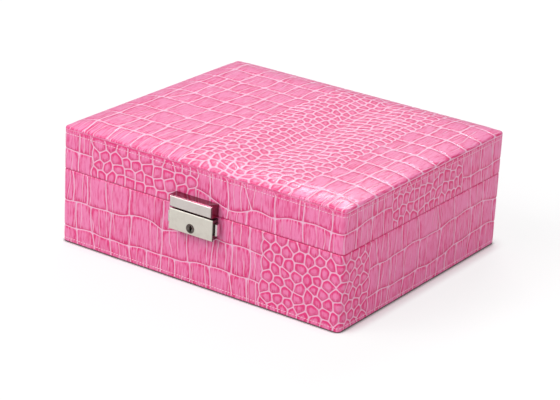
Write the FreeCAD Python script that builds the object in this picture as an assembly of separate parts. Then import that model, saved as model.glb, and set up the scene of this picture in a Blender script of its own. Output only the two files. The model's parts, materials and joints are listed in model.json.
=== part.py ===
"""Jewellery case: a leather-wrapped board box with a padded lid, a press-button lock and a lift-out tray.

Millimetres. The origin is the middle of the face it stands on, +Z is up, the lock faces -Y.
"""
import FreeCAD
import Part
import math
import os

# Case, measured over the leather
CASE_W = 230.0          # along X, across the front
CASE_D = 200.0          # along Y, front to back
SEAM_Z = 53.6           # middle of the gap between base and lid
SEAM_GAP = 0.3
EDGE_Z = 84.3           # top edge of the lid, where the padding starts
CROWN = 3.2             # rise of the padded top above that edge
CROWN_RUN = 22.0        # width of the sloping margin of the padded top
EDGE_R = 1.6            # rounding of the padded top's edge
CROWN_STEPS = 2         # levels of the sloping margin
CORNER_R = 3.0          # upright corners
RIM_BREAK = 0.6         # broken edges of the leather at the rims and the foot

# Sheets and boards
LEATHER = 1.0
WALL = 6.0
PANEL = 4.0             # floor board and top board
FELT = 1.2
HEM = 12.0              # leather turned in under the floor
HEM_LIFT = 0.2          # the felt stands this much lower than the hem
LINING = 0.8            # velvet on card along the walls
FLOOR_LINING = 1.5
TOP_SEAM_Z = 82.25      # where the top leather meets the band
SEAM_SLIT = 0.1
PAD_EDGE = 1.8          # foam left at the edge of the lid

# Lower layer and tray
LEDGE = 2.5             # strips that carry the tray, front and rear
CARD = 3.0              # wrapped card of walls and dividers
CARD_R = 1.2            # rounded top edges of the wrapped card
TRAY_Z = 28.0           # underside of the tray
TRAY_FLOOR = 2.5
TRAY_TOP = 50.5
TRAY_PLAY = 0.8         # clearance round the tray
DIVIDER_GAP = 0.4       # dividers end this far below the tray
SMALL_BOX_Y = 25.0      # divider of the tray's right side
ROLLS = 6
ROLL_PITCH = 15.8
ROLL_GAP = 0.6
ROLL_TOP = 46.5
ROLL_END = 2.5          # softened ends of the rolls
PULL_W = 12.0           # ribbon loops at the tray's ends
RIBBON = 0.6
PULL_R = 3.2
PULL_FOOT = 7.0

# Mirror in the lid
MIRROR_CARD = 4.0
MIRROR_WINDOW = (75.0, 58.0)    # half width and half depth that show
MIRROR_LAP = 3.0
MIRROR_LIP = 1.5
GLASS = 2.0

# Lock: a case with two press buttons and a key barrel, and a hasp on the lid
LOCK_W = 35.8
LOCK_Z = (38.0, 53.0)
LOCK_PROUD = 7.0
FACE_PLATE = 1.2
FACE_LIP = 0.6          # the face plate stands out past the lock's body
FACE_CHAMFER = 0.5
SHELL = 1.2
BACK_PLATE = 1.1
BARREL_R = 3.25
BARREL_Z = 42.6
BARREL_FIT = 0.06
BARREL_PROUD = 0.3
BARREL_DISH = 0.7
BARREL_WALL = 0.9
STEM_R = 1.6
KEYWAY = (1.1, 4.4, 3.0)        # width, height and depth
CAM_REACH = 5.0
CAM_W = 2.2
CAM_T = 1.1
CAM_RING = 0.8
BUTTON_Z = (42.0, 50.0)
BUTTON_Y = (-105.0, -101.4)
BUTTON_PROUD = 2.3      # past the edge of the face plate
BUTTON_FIT = 0.25
FLANGE = 0.8
SLIDER_Y = (-103.2, -101.6)
SLIDER_Z = (47.6, 50.2)
HOOK_X = (4.4, 5.6)
HOOK_Y = -105.4
SPRING_Z = 43.4
SPRING_Y = -103.2
SPRING_R = 1.1
WIRE_R = 0.2            # half the side of the spring's square wire
WIRE_CORNERS = ((-1, -1), (1, -1), (1, 1), (-1, 1))
SPRING_TURNS = 4
TURN_STEPS = 8
SPRING_SEAT_X = (10.2, 11.2)
HASP_W = 34.8
HASP_Z = (54.1, 62.6)
HASP_PROUD = 8.0
HASP_WALL = 1.4
HASP_CHAMFER = 1.0
EAR_X = (6.0, 9.6)
EAR_Y = (-105.2, -104.0)
EAR_TIP_Z = 46.6
EAR_NOTCH_Z = (47.2, 50.6)
EAR_NOTCH = 1.2
EAR_PLAY = 0.4

# Hinges: two small stop hinges let into the rear rims
HINGE_X = 65.0
LEAF_W = 30.0
LEAF_FIT = 0.2
KNUCKLE_R = 1.8
KNUCKLE_CLEAR = 0.3
PIN_R = 0.9
PIN_PRESS = 0.02
PIN_RUN = 0.05
MID_KNUCKLE = 11.4
STOP_ANGLE = 100.0      # opening at which the two stop lips meet
STOP_REACH = 4.4
STOP_LIP = 1.0
STOP_SLACK = 0.2        # degrees left between the lips

# Screws
HINGE_SCREW = (0.8, 1.5, 9.0)   # shank radius, head radius, length
HINGE_SCREW_X = 10.0
LOCK_SCREW = (0.9, 1.8, 1.2)    # shank radius, head radius, head height
LOCK_SCREW_AT = (7.5, 40.8)
HASP_SCREW_AT = (11.5, 58.4)
BOSS_WALL = 0.7
SCREW_FIT = 0.05
SCREW_TIP = 1.0         # the lock's screws end this far behind its face

# Worked out from the sizes above
HALF_W = CASE_W / 2
HALF_D = CASE_D / 2
BOARD_X = HALF_W - LEATHER
BOARD_Y = HALF_D - LEATHER
INNER_X = BOARD_X - WALL
INNER_Y = BOARD_Y - WALL
LINED_X = INNER_X - LINING
LINED_Y = INNER_Y - LINING
BOARD_R = CORNER_R - LEATHER
BASE_TOP = SEAM_Z - SEAM_GAP / 2
LID_BOTTOM = SEAM_Z + SEAM_GAP / 2
BASE_BOARD_Z = (FELT, BASE_TOP - LEATHER)
FLOOR_TOP = FELT + PANEL
PAD_Z = EDGE_Z - LEATHER - PAD_EDGE
LID_WALL_Z = (LID_BOTTOM + LEATHER, PAD_Z - PANEL)
CROWN_R = (CROWN_RUN ** 2 + CROWN ** 2) / (2 * CROWN)
TRAY_X = LINED_X - TRAY_PLAY
TRAY_Y = LINED_Y - TRAY_PLAY
TRAY_FLOOR_TOP = TRAY_Z + TRAY_FLOOR
ROLL_ZONE = ROLLS * ROLL_PITCH / 2
AXIS_Y = HALF_D + KNUCKLE_R + KNUCKLE_CLEAR
LOCK_FACE = -HALF_D - LOCK_PROUD
LOCK_BODY_X = LOCK_W / 2 - FACE_LIP
LOCK_BODY_Z = (LOCK_Z[0] + FACE_LIP, LOCK_Z[1] - FACE_LIP)
LOCK_HOLLOW_Y = LOCK_FACE + FACE_PLATE
LOCK_HOLLOW_X = LOCK_BODY_X - SHELL
LOCK_HOLLOW_Z = (LOCK_BODY_Z[0] + SHELL, LOCK_BODY_Z[1] - SHELL)
HASP_FACE = -HALF_D - HASP_PROUD
HASP_HOLLOW_Y = HASP_FACE + HASP_WALL

TOUCH = 1e-4            # closer than this counts as the same place
X_AXIS = FreeCAD.Vector(1, 0, 0)
Y_AXIS = FreeCAD.Vector(0, 1, 0)
Z_AXIS = FreeCAD.Vector(0, 0, 1)
ORIGIN = FreeCAD.Vector(0, 0, 0)


def box(x, y, z):
    """Block between the low and high values of x, y and z."""
    low = FreeCAD.Vector(min(x), min(y), min(z))
    return Part.makeBox(abs(x[1] - x[0]), abs(y[1] - y[0]), abs(z[1] - z[0]), low)


def mirrored(shape):
    """The shape's counterpart on the other side of the case's middle."""
    return shape.mirror(ORIGIN, X_AXIS)


def outline(half_x, half_y, radius, z):
    """Rounded rectangle about the Z axis."""
    points = []
    for sx, sy, start in ((1, 1, 0), (-1, 1, 90), (-1, -1, 180), (1, -1, 270)):
        centre = FreeCAD.Vector(sx * (half_x - radius), sy * (half_y - radius), z)
        for turn in (0, 45, 90):
            angle = math.radians(start + turn)
            points.append(centre + FreeCAD.Vector(math.cos(angle), math.sin(angle), 0) * radius)
    edges = []
    for corner in range(4):
        first, middle, last = points[3 * corner:3 * corner + 3]
        edges.append(Part.Arc(first, middle, last).toShape())
        edges.append(Part.LineSegment(last, points[(3 * corner + 3) % 12]).toShape())
    return Part.Wire(edges)


def slab(half_x, half_y, radius, z):
    """Upright block with rounded corners between two heights."""
    face = Part.Face(outline(half_x, half_y, radius, z[0]))
    return face.extrude(Z_AXIS * (z[1] - z[0]))


def window(half_x, half_y, z):
    """Square-cornered opening about the Z axis."""
    return box((-half_x, half_x), (-half_y, half_y), z)


def rod(radius, start, direction, length):
    """Cylinder from a point along a direction."""
    return Part.makeCylinder(radius, length, FreeCAD.Vector(*start), direction)


def edges_at(shape, axis, value):
    """Edges that lie wholly in the plane where the coordinate has the value."""
    flat = []
    for edge in shape.Edges:
        spread = [abs(getattr(vertex.Point, axis) - value) for vertex in edge.Vertexes]
        if max(spread) < TOUCH:
            flat.append(edge)
    return flat


def wrapped_card(x, y, z):
    """Upright card wrapped in velvet, its long top edges rounded."""
    card = box(x, y, z)
    long_side = max(abs(x[1] - x[0]), abs(y[1] - y[0]))
    tops = [edge for edge in edges_at(card, "z", max(z)) if abs(edge.Length - long_side) < TOUCH]
    return card.makeFillet(CARD_R, tops)


def wall_ring(prefix, z):
    """Four butt-jointed wall boards, front and rear over the ends of the sides."""
    ring = slab(BOARD_X, BOARD_Y, BOARD_R, z).cut(window(INNER_X, INNER_Y, z))
    wide = (-HALF_W, HALF_W)
    between = (-INNER_Y, INNER_Y)
    return {
        prefix + "_front_wall": ring.common(box(wide, (-HALF_D, -INNER_Y), z)),
        prefix + "_rear_wall": ring.common(box(wide, (INNER_Y, HALF_D), z)),
        prefix + "_left_wall": ring.common(box((-HALF_W, -INNER_X), between, z)),
        prefix + "_right_wall": ring.common(box((INNER_X, HALF_W), between, z)),
    }


def screw_line():
    """Distance of the hinge screws from the case's middle."""
    return (INNER_Y + BOARD_Y) / 2 + LEATHER / 2


def hinge_screw(x, z_head, direction):
    """Countersunk screw driven along the direction from a leaf's face."""
    shank_r, head_r, length = HINGE_SCREW
    start = FreeCAD.Vector(x, screw_line(), z_head)
    head = Part.makeCone(head_r, shank_r, LEATHER, start, direction)
    return head.fuse(Part.makeCylinder(shank_r, length - LEATHER, start + direction * LEATHER, direction))


def hinge_screws(z_head, direction):
    """The four screws of one half of both hinges."""
    screws = []
    for side in (-1, 1):
        for end in (-1, 1):
            screws.append(hinge_screw(side * HINGE_X + end * HINGE_SCREW_X, z_head, direction))
    return Part.makeCompound(screws)


def long_screws(at, face_y):
    """Two screws from inside a front wall into a casting whose hollow starts at face_y."""
    shank_r, head_r, head_h = LOCK_SCREW
    length = -INNER_Y - head_h - (face_y + SCREW_TIP)
    screws = []
    for side in (-1, 1):
        x = side * at[0]
        head = rod(head_r, (x, -INNER_Y, at[1]), -Y_AXIS, head_h)
        screws.append(head.fuse(rod(shank_r, (x, -INNER_Y - head_h, at[1]), -Y_AXIS, length)))
    return Part.makeCompound(screws)


def screw_slot(at):
    """Slot through wall and leather for a pair of long screws, sunk on the inside for their heads."""
    shank_r, head_r, head_h = LOCK_SCREW
    slots = []
    for radius, depth in ((shank_r, CASE_D), (head_r, head_h)):
        half = radius + SCREW_FIT
        x = (-at[0] - half, at[0] + half)
        slots.append(box(x, (-INNER_Y, -INNER_Y - depth - SCREW_FIT), (at[1] - half, at[1] + half)))
    return slots[0].fuse(slots[1])


def screw_holes(at, face_y):
    """Holes of a pair of long screws in the posts of their casting."""
    radius = LOCK_SCREW[0] + SCREW_FIT
    start_y = -HALF_D
    length = start_y - face_y - SCREW_TIP / 2
    holes = [rod(radius, (side * at[0], start_y, at[1]), -Y_AXIS, length) for side in (-1, 1)]
    return Part.makeCompound(holes)


def leaf_notches(z):
    """Room in the rear rim for the two hinge leaves."""
    half = LEAF_W / 2 + LEAF_FIT
    notches = [box((side * HINGE_X - half, side * HINGE_X + half), (INNER_Y, HALF_D), z) for side in (-1, 1)]
    return Part.makeCompound(notches)


def base_boards():
    """Walls and floor of the base."""
    boards = wall_ring("base", BASE_BOARD_Z)
    boards["base_floor_board"] = window(INNER_X, INNER_Y, (FELT, FLOOR_TOP))
    boards["base_front_wall"] = boards["base_front_wall"].cut(screw_slot(LOCK_SCREW_AT))
    return boards


def base_skins():
    """Leather, felt and velvet on the base."""
    skin = slab(HALF_W, HALF_D, CORNER_R, (HEM_LIFT, BASE_TOP))
    skin = skin.makeChamfer(RIM_BREAK, edges_at(skin, "z", HEM_LIFT) + edges_at(skin, "z", BASE_TOP))
    skin = skin.cut(slab(BOARD_X, BOARD_Y, BOARD_R, BASE_BOARD_Z))
    skin = skin.cut(window(INNER_X, INNER_Y, (FELT, BASE_TOP)))
    skin = skin.cut(window(HALF_W - HEM, HALF_D - HEM, (0.0, FELT)))
    skin = skin.cut(leaf_notches((BASE_BOARD_Z[1], BASE_TOP)))
    skin = skin.cut(screw_slot(LOCK_SCREW_AT))
    felt_x = HALF_W - HEM - SEAM_GAP
    felt_y = HALF_D - HEM - SEAM_GAP
    ring = window(INNER_X, INNER_Y, (FLOOR_TOP, BASE_BOARD_Z[1]))
    return {
        "base_leather": skin,
        "base_felt": slab(felt_x, felt_y, CORNER_R, (0.0, FELT)),
        "base_wall_lining": ring.cut(window(LINED_X, LINED_Y, (FLOOR_TOP, BASE_TOP))),
        "base_floor_lining": window(LINED_X, LINED_Y, (FLOOR_TOP, FLOOR_TOP + FLOOR_LINING)),
    }


def lower_layer():
    """Ledges that carry the tray, and the crossed dividers under it."""
    z = (FLOOR_TOP + FLOOR_LINING, TRAY_Z)
    top = TRAY_Z - DIVIDER_GAP
    half = CARD / 2
    lap = (z[0] + top) / 2
    wide = (-LINED_X, LINED_X)
    deep = LINED_Y - LEDGE
    long_card = wrapped_card(wide, (-half, half), (z[0], top))
    cross_card = wrapped_card((-half, half), (-deep, deep), (z[0], top))
    return {
        "tray_ledge_front": box(wide, (-LINED_Y, -deep), z),
        "tray_ledge_rear": box(wide, (deep, LINED_Y), z),
        "base_divider_long": long_card.cut(box((-half, half), (-half, half), (lap, top))),
        "base_divider_cross": cross_card.cut(box((-half, half), (-half, half), (z[0], lap))),
    }


def lock_case():
    """Cast case with its face plate, button windows, ear slots, barrel housing and screw posts."""
    plate = box((-LOCK_W / 2, LOCK_W / 2), (LOCK_FACE, LOCK_HOLLOW_Y), LOCK_Z)
    plate = plate.makeChamfer(FACE_CHAMFER, edges_at(plate, "y", LOCK_FACE))
    body = box((-LOCK_BODY_X, LOCK_BODY_X), (LOCK_HOLLOW_Y, -HALF_D), LOCK_BODY_Z)
    hollow = box((-LOCK_HOLLOW_X, LOCK_HOLLOW_X), (LOCK_HOLLOW_Y, -HALF_D), LOCK_HOLLOW_Z)
    case = plate.fuse(body.cut(hollow))
    hole_r = BARREL_R + BARREL_FIT
    housing = rod(hole_r + BARREL_WALL, (0, LOCK_HOLLOW_Y, BARREL_Z), Y_AXIS, FACE_PLATE + BARREL_WALL)
    case = case.fuse(housing)
    inside = -HALF_D - BACK_PLATE
    for side in (-1, 1):
        post = (side * LOCK_SCREW_AT[0], LOCK_HOLLOW_Y, LOCK_SCREW_AT[1])
        case = case.fuse(rod(LOCK_SCREW[0] + BOSS_WALL, post, Y_AXIS, inside - LOCK_HOLLOW_Y))
        seat_x = (side * SPRING_SEAT_X[0], side * SPRING_SEAT_X[1])
        seat_z = (LOCK_HOLLOW_Z[0], SPRING_Z + SPRING_R + BOSS_WALL)
        case = case.fuse(box(seat_x, (LOCK_HOLLOW_Y, inside), seat_z))
        slot_x = (side * (EAR_X[0] - EAR_PLAY), side * (EAR_X[1] + EAR_PLAY))
        slot_y = (LOCK_HOLLOW_Y, EAR_Y[1] + EAR_PLAY)
        case = case.cut(box(slot_x, slot_y, (LOCK_HOLLOW_Z[1], LOCK_BODY_Z[1])))
        opening_y = (BUTTON_Y[0] - BUTTON_FIT, BUTTON_Y[1] + BUTTON_FIT)
        opening_z = (BUTTON_Z[0] - BUTTON_FIT, BUTTON_Z[1] + BUTTON_FIT)
        case = case.cut(box((side * LOCK_HOLLOW_X, side * LOCK_BODY_X), opening_y, opening_z))
    case = case.cut(rod(hole_r, (0, LOCK_FACE, BARREL_Z), Y_AXIS, LOCK_PROUD))
    return case.cut(screw_holes(LOCK_SCREW_AT, LOCK_HOLLOW_Y)).removeSplitter()


def button():
    """Right-hand button: cap, retaining flange, slider bar and the hook that holds the hasp's ear."""
    flange_x = (LOCK_HOLLOW_X - BUTTON_FIT - FLANGE, LOCK_HOLLOW_X - BUTTON_FIT)
    cap_end = LOCK_W / 2 + BUTTON_PROUD
    cap = box((flange_x[1], cap_end), BUTTON_Y, BUTTON_Z)
    cap = cap.makeFillet(FACE_CHAMFER, edges_at(cap, "x", cap_end))
    flange_z = (BUTTON_Z[0] - FLANGE, BUTTON_Z[1] + FLANGE)
    flange = box(flange_x, (LOCK_HOLLOW_Y + BUTTON_FIT, BUTTON_Y[1]), flange_z)
    slider = box((HOOK_X[0], flange_x[0]), SLIDER_Y, SLIDER_Z)
    hook = box(HOOK_X, (HOOK_Y, SLIDER_Y[0]), SLIDER_Z)
    return cap.fuse([flange, slider, hook]).removeSplitter()


def coil(start_x, end_x):
    """Compression spring of square wire along X, lofted through sections on its helix."""
    length = end_x - start_x - 2 * WIRE_R
    steps = SPRING_TURNS * TURN_STEPS
    sections = []
    for step in range(steps + 1):
        angle = 2 * math.pi * step / TURN_STEPS
        outward = FreeCAD.Vector(0, math.cos(angle), math.sin(angle))
        x = start_x + WIRE_R + length * step / steps
        centre = FreeCAD.Vector(x, SPRING_Y, SPRING_Z) + outward * SPRING_R
        corners = [centre + outward * (a * WIRE_R) + X_AXIS * (b * WIRE_R) for a, b in WIRE_CORNERS]
        sections.append(Part.makePolygon(corners + corners[:1]))
    return Part.makeLoft(sections, True, True)


def key_barrel():
    """Turning barrel with a dished face, a keyway and the stem that carries the cam."""
    front = LOCK_FACE - BARREL_PROUD
    back = -HALF_D - BACK_PLATE - CAM_T - BUTTON_FIT
    centre = FreeCAD.Vector(0, front, BARREL_Z)
    barrel = rod(BARREL_R, (0, front, BARREL_Z), Y_AXIS, back - front)
    barrel = barrel.cut(Part.makeCone(BARREL_R - BARREL_DISH / 2, KEYWAY[0], BARREL_DISH, centre, Y_AXIS))
    width, height, depth = KEYWAY
    slot_z = (BARREL_Z - height / 2, BARREL_Z + height / 2)
    barrel = barrel.cut(box((-width / 2, width / 2), (front, front + depth), slot_z))
    barrel = barrel.cut(rod(width, (0, front, BARREL_Z), Y_AXIS, depth))
    return barrel.fuse(rod(STEM_R, (0, back, BARREL_Z), Y_AXIS, CAM_T)).removeSplitter()


def lock_cam():
    """Cam on the barrel's stem, pointing to the left while the lock is open."""
    back = -HALF_D - BACK_PLATE - BUTTON_FIT
    y = (back - CAM_T, back)
    ring = rod(STEM_R + CAM_RING, (0, y[0], BARREL_Z), Y_AXIS, CAM_T)
    arm = box((-CAM_REACH, 0), y, (BARREL_Z - CAM_W / 2, BARREL_Z + CAM_W / 2))
    stem = rod(STEM_R + PIN_PRESS, (0, y[0], BARREL_Z), Y_AXIS, CAM_T)
    return ring.fuse(arm).cut(stem).removeSplitter()


def lock():
    """Everything on the base's side of the lock."""
    hollow_gap = PIN_RUN * 2
    plate_x = LOCK_HOLLOW_X - hollow_gap
    plate_z = (LOCK_HOLLOW_Z[0] + hollow_gap, LOCK_HOLLOW_Z[1] - hollow_gap)
    plate = box((-plate_x, plate_x), (-HALF_D - BACK_PLATE, -HALF_D), plate_z)
    right_button = button()
    spring_x = (SPRING_SEAT_X[1], LOCK_HOLLOW_X - BUTTON_FIT - FLANGE)
    right_spring = coil(*spring_x)
    return {
        "lock_case": lock_case(),
        "lock_back_plate": plate.cut(screw_slot(LOCK_SCREW_AT)),
        "lock_screws": long_screws(LOCK_SCREW_AT, LOCK_HOLLOW_Y),
        "right_button": right_button,
        "left_button": mirrored(right_button),
        "right_spring": right_spring,
        "left_spring": mirrored(right_spring),
        "key_barrel": key_barrel(),
        "lock_cam": lock_cam(),
    }


def hasp():
    """Cast hasp on the lid with two notched ears that drop into the lock."""
    half = HASP_W / 2
    plate = box((-half, half), (HASP_FACE, -HALF_D), HASP_Z)
    plate = plate.makeChamfer(HASP_CHAMFER, edges_at(plate, "y", HASP_FACE))
    inner_z = (HASP_Z[0] + HASP_WALL, HASP_Z[1] - HASP_WALL)
    plate = plate.cut(box((HASP_WALL - half, half - HASP_WALL), (HASP_HOLLOW_Y, -HALF_D), inner_z))
    for side in (-1, 1):
        post = (side * HASP_SCREW_AT[0], HASP_HOLLOW_Y, HASP_SCREW_AT[1])
        plate = plate.fuse(rod(LOCK_SCREW[0] + BOSS_WALL, post, Y_AXIS, -HALF_D - HASP_HOLLOW_Y))
        ear_x = (side * EAR_X[0], side * EAR_X[1])
        ear = box(ear_x, EAR_Y, (EAR_TIP_Z, inner_z[0]))
        notch_x = (side * EAR_X[0], side * (EAR_X[0] + EAR_NOTCH))
        plate = plate.fuse(ear.cut(box(notch_x, EAR_Y, EAR_NOTCH_Z)))
    plate = plate.cut(screw_holes(HASP_SCREW_AT, HASP_HOLLOW_Y)).removeSplitter()
    return {"hasp_plate": plate, "hasp_screws": long_screws(HASP_SCREW_AT, HASP_HOLLOW_Y)}


def knuckle(x, fit):
    """Piece of hinge barrel over a span of X, bored for the pin."""
    start = (x[0], AXIS_Y, SEAM_Z)
    barrel = rod(KNUCKLE_R, start, X_AXIS, x[1] - x[0])
    return barrel, rod(PIN_R + fit, start, X_AXIS, x[1] - x[0])


def stop_lip(x, root_r, above):
    """Lip on the back of a knuckle; the lid's and the base's meet when the lid is open."""
    half_angle = STOP_ANGLE / 2 + STOP_SLACK
    z = (0.0, STOP_LIP) if above else (-STOP_LIP, 0.0)
    lip = box(x, (root_r, STOP_REACH), z)
    lip.rotate(ORIGIN, X_AXIS, half_angle if above else -half_angle)
    lip.translate(FreeCAD.Vector(0, AXIS_Y, SEAM_Z))
    return lip


def hinge_leaf(centre, for_lid):
    """One leaf: a plate let into the rim, its knuckles, its stop lip and two countersunk holes."""
    half = LEAF_W / 2
    mid = MID_KNUCKLE / 2
    outer = mid + KNUCKLE_CLEAR
    ends = ((centre - half, centre - outer), (centre + outer, centre + half))
    middle = ((centre - mid, centre + mid),)
    own, other = (middle, ends) if for_lid else (ends, middle)
    z = (LID_BOTTOM, LID_BOTTOM + LEATHER) if for_lid else (BASE_TOP - LEATHER, BASE_TOP)
    leaf = box((centre - half, centre + half), (INNER_Y + LEAF_FIT, AXIS_Y), z)
    near = AXIS_Y - KNUCKLE_R - KNUCKLE_CLEAR
    for span in other:
        gap = (span[0] - KNUCKLE_CLEAR, span[1] + KNUCKLE_CLEAR)
        leaf = leaf.cut(box(gap, (near, AXIS_Y), (BASE_TOP - LEATHER, LID_BOTTOM + LEATHER)))
    if not for_lid:
        bridge = (middle[0][0] - KNUCKLE_CLEAR, middle[0][1] + KNUCKLE_CLEAR)
        leaf = leaf.fuse(stop_lip(bridge, KNUCKLE_R + KNUCKLE_CLEAR, for_lid))
    for span in own:
        leaf = leaf.fuse(stop_lip(span, KNUCKLE_R - KNUCKLE_CLEAR, for_lid))
    for span in own:
        barrel, bore = knuckle(span, PIN_RUN if for_lid else PIN_PRESS)
        leaf = leaf.fuse(barrel).cut(bore)
    direction = Z_AXIS if for_lid else -Z_AXIS
    head = z[0] if for_lid else z[1]
    holes = [hinge_screw(centre + end * HINGE_SCREW_X, head, direction) for end in (-1, 1)]
    return leaf.cut(Part.makeCompound(holes)).removeSplitter()


def hinges():
    """Two hinges, each with a base leaf, a lid leaf and a pin, and the screws of both."""
    pieces = {
        "hinge_base_screws": hinge_screws(BASE_TOP, -Z_AXIS),
        "hinge_lid_screws": hinge_screws(LID_BOTTOM, Z_AXIS),
    }
    for name, side in (("left", -1), ("right", 1)):
        centre = side * HINGE_X
        pieces["hinge_" + name + "_base_leaf"] = hinge_leaf(centre, False)
        pieces["hinge_" + name + "_lid_leaf"] = hinge_leaf(centre, True)
        start = (centre - LEAF_W / 2, AXIS_Y, SEAM_Z)
        pieces["hinge_" + name + "_pin"] = rod(PIN_R, start, X_AXIS, LEAF_W)
    return pieces


def lid_boards():
    """Walls and top board of the lid."""
    boards = wall_ring("lid", LID_WALL_Z)
    boards["lid_top_board"] = slab(BOARD_X, BOARD_Y, BOARD_R, (PAD_Z - PANEL, PAD_Z))
    boards["lid_front_wall"] = boards["lid_front_wall"].cut(screw_slot(HASP_SCREW_AT))
    return boards


def crown_height(inset):
    """Height of the padded top at a distance in from its edge."""
    return EDGE_Z + CROWN - CROWN_R + math.sqrt(CROWN_R ** 2 - (CROWN_RUN - inset) ** 2)


def crown_sections():
    """Inset and height of each level of the padded top: the rounded edge, then the sloping margin."""
    top = crown_height(EDGE_R)
    sections = [(0.0, top - EDGE_R)]
    for step in range(CROWN_STEPS + 1):
        inset = EDGE_R + (CROWN_RUN - EDGE_R) * step / CROWN_STEPS
        sections.append((inset, crown_height(inset)))
    return sections


def pillow(half_x, half_y, radius, foot_z, drop):
    """Crowned block from a flat foot up through the levels of the padded top."""
    wires = [outline(half_x, half_y, radius, foot_z)]
    for inset, z in crown_sections():
        wires.append(outline(half_x - inset, half_y - inset, radius + inset / 2, z - drop))
    return Part.makeLoft(wires, True, True)


def lid_skins():
    """Foam, leather and velvet on the lid."""
    pad = pillow(BOARD_X, BOARD_Y, BOARD_R, PAD_Z, LEATHER)
    top = pillow(HALF_W, HALF_D, CORNER_R, TOP_SEAM_Z + SEAM_SLIT, 0.0).cut(pad)
    band = slab(HALF_W, HALF_D, CORNER_R, (LID_BOTTOM, TOP_SEAM_Z))
    band = band.makeChamfer(RIM_BREAK, edges_at(band, "z", LID_BOTTOM))
    band = band.cut(slab(BOARD_X, BOARD_Y, BOARD_R, (LID_WALL_Z[0], TOP_SEAM_Z)))
    band = band.cut(window(INNER_X, INNER_Y, (LID_BOTTOM, LID_WALL_Z[0])))
    band = band.cut(leaf_notches((LID_BOTTOM, LID_WALL_Z[0])))
    band = band.cut(screw_slot(HASP_SCREW_AT))
    ring = window(INNER_X, INNER_Y, LID_WALL_Z)
    return {
        "lid_foam_pad": pad,
        "lid_top_leather": top,
        "lid_band_leather": band,
        "lid_wall_lining": ring.cut(window(LINED_X, LINED_Y, LID_WALL_Z)),
    }


def mirror():
    """Velvet-covered card under the lid's top, with the mirror behind its window."""
    ceiling = LID_WALL_Z[1]
    z = (ceiling - MIRROR_CARD, ceiling)
    half_x, half_y = MIRROR_WINDOW
    card = window(LINED_X - SEAM_SLIT, LINED_Y - SEAM_SLIT, z)
    opening = window(half_x, half_y, (z[0], z[0] + MIRROR_LIP))
    card = card.cut(opening)
    rims = [edge for edge in edges_at(card, "z", z[0]) if abs(edge.CenterOfMass.x) <= half_x + SEAM_SLIT]
    rims = [edge for edge in rims if abs(edge.CenterOfMass.y) <= half_y + SEAM_SLIT]
    card = card.makeChamfer(MIRROR_LIP / 2, rims)
    seat = (z[0] + MIRROR_LIP, ceiling)
    card = card.cut(window(half_x + MIRROR_LAP, half_y + MIRROR_LAP, seat))
    glass_x = half_x + MIRROR_LAP - TRAY_PLAY
    glass_y = half_y + MIRROR_LAP - TRAY_PLAY
    glass = window(glass_x, glass_y, (seat[0], seat[0] + GLASS))
    return {"mirror_card": card, "mirror_glass": glass}


def tray():
    """Lift-out tray: floor, walls, the two partitions beside the ring rolls and one divider."""
    z = (TRAY_FLOOR_TOP, TRAY_TOP)
    inside_x = TRAY_X - CARD
    inside_y = TRAY_Y - CARD
    wide = (-TRAY_X, TRAY_X)
    between = (-inside_y, inside_y)
    low = (TRAY_FLOOR_TOP, TRAY_TOP - CARD_R)
    partition = wrapped_card((ROLL_ZONE, ROLL_ZONE + CARD), between, low)
    divider_y = (SMALL_BOX_Y - CARD / 2, SMALL_BOX_Y + CARD / 2)
    return {
        "tray_floor": window(TRAY_X, TRAY_Y, (TRAY_Z, TRAY_FLOOR_TOP)),
        "tray_front_wall": wrapped_card(wide, (-TRAY_Y, -inside_y), z),
        "tray_rear_wall": wrapped_card(wide, (inside_y, TRAY_Y), z),
        "tray_left_wall": wrapped_card((-TRAY_X, -inside_x), between, z),
        "tray_right_wall": wrapped_card((inside_x, TRAY_X), between, z),
        "tray_left_partition": mirrored(partition),
        "tray_right_partition": partition,
        "tray_divider": wrapped_card((ROLL_ZONE + CARD, inside_x), divider_y, low),
    }


def ring_roll(centre):
    """Padded roll along Y with a flat foot, a round back and softened ends."""
    half = (ROLL_PITCH - ROLL_GAP) / 2
    length = TRAY_Y - CARD - ROLL_GAP
    shoulder = ROLL_TOP - half
    left, right = centre - half, centre + half
    corners = [
        FreeCAD.Vector(left, -length, shoulder),
        FreeCAD.Vector(left, -length, TRAY_FLOOR_TOP),
        FreeCAD.Vector(right, -length, TRAY_FLOOR_TOP),
        FreeCAD.Vector(right, -length, shoulder),
    ]
    side_edges = [Part.LineSegment(a, b).toShape() for a, b in zip(corners, corners[1:])]
    lean = half * math.sqrt(0.5)
    crown = FreeCAD.Vector(centre, -length, ROLL_TOP)
    right_mid = FreeCAD.Vector(centre + lean, -length, shoulder + lean)
    left_mid = FreeCAD.Vector(centre - lean, -length, shoulder + lean)
    back = [
        Part.Arc(corners[3], right_mid, crown).toShape(),
        Part.Arc(crown, left_mid, corners[0]).toShape(),
    ]
    roll = Part.Face(Part.Wire(side_edges + back)).extrude(Y_AXIS * (2 * length))
    ends = edges_at(roll, "y", -length) + edges_at(roll, "y", length)
    ends = [edge for edge in ends if edge.CenterOfMass.z > TRAY_FLOOR_TOP + ROLL_GAP]
    return roll.makeChamfer(ROLL_END, ends)


def ring_rolls():
    """Row of ring rolls between the two partitions."""
    rolls = {}
    for index in range(ROLLS):
        centre = (index - (ROLLS - 1) / 2) * ROLL_PITCH
        rolls["ring_roll_" + str(index + 1)] = ring_roll(centre)
    return rolls


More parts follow.
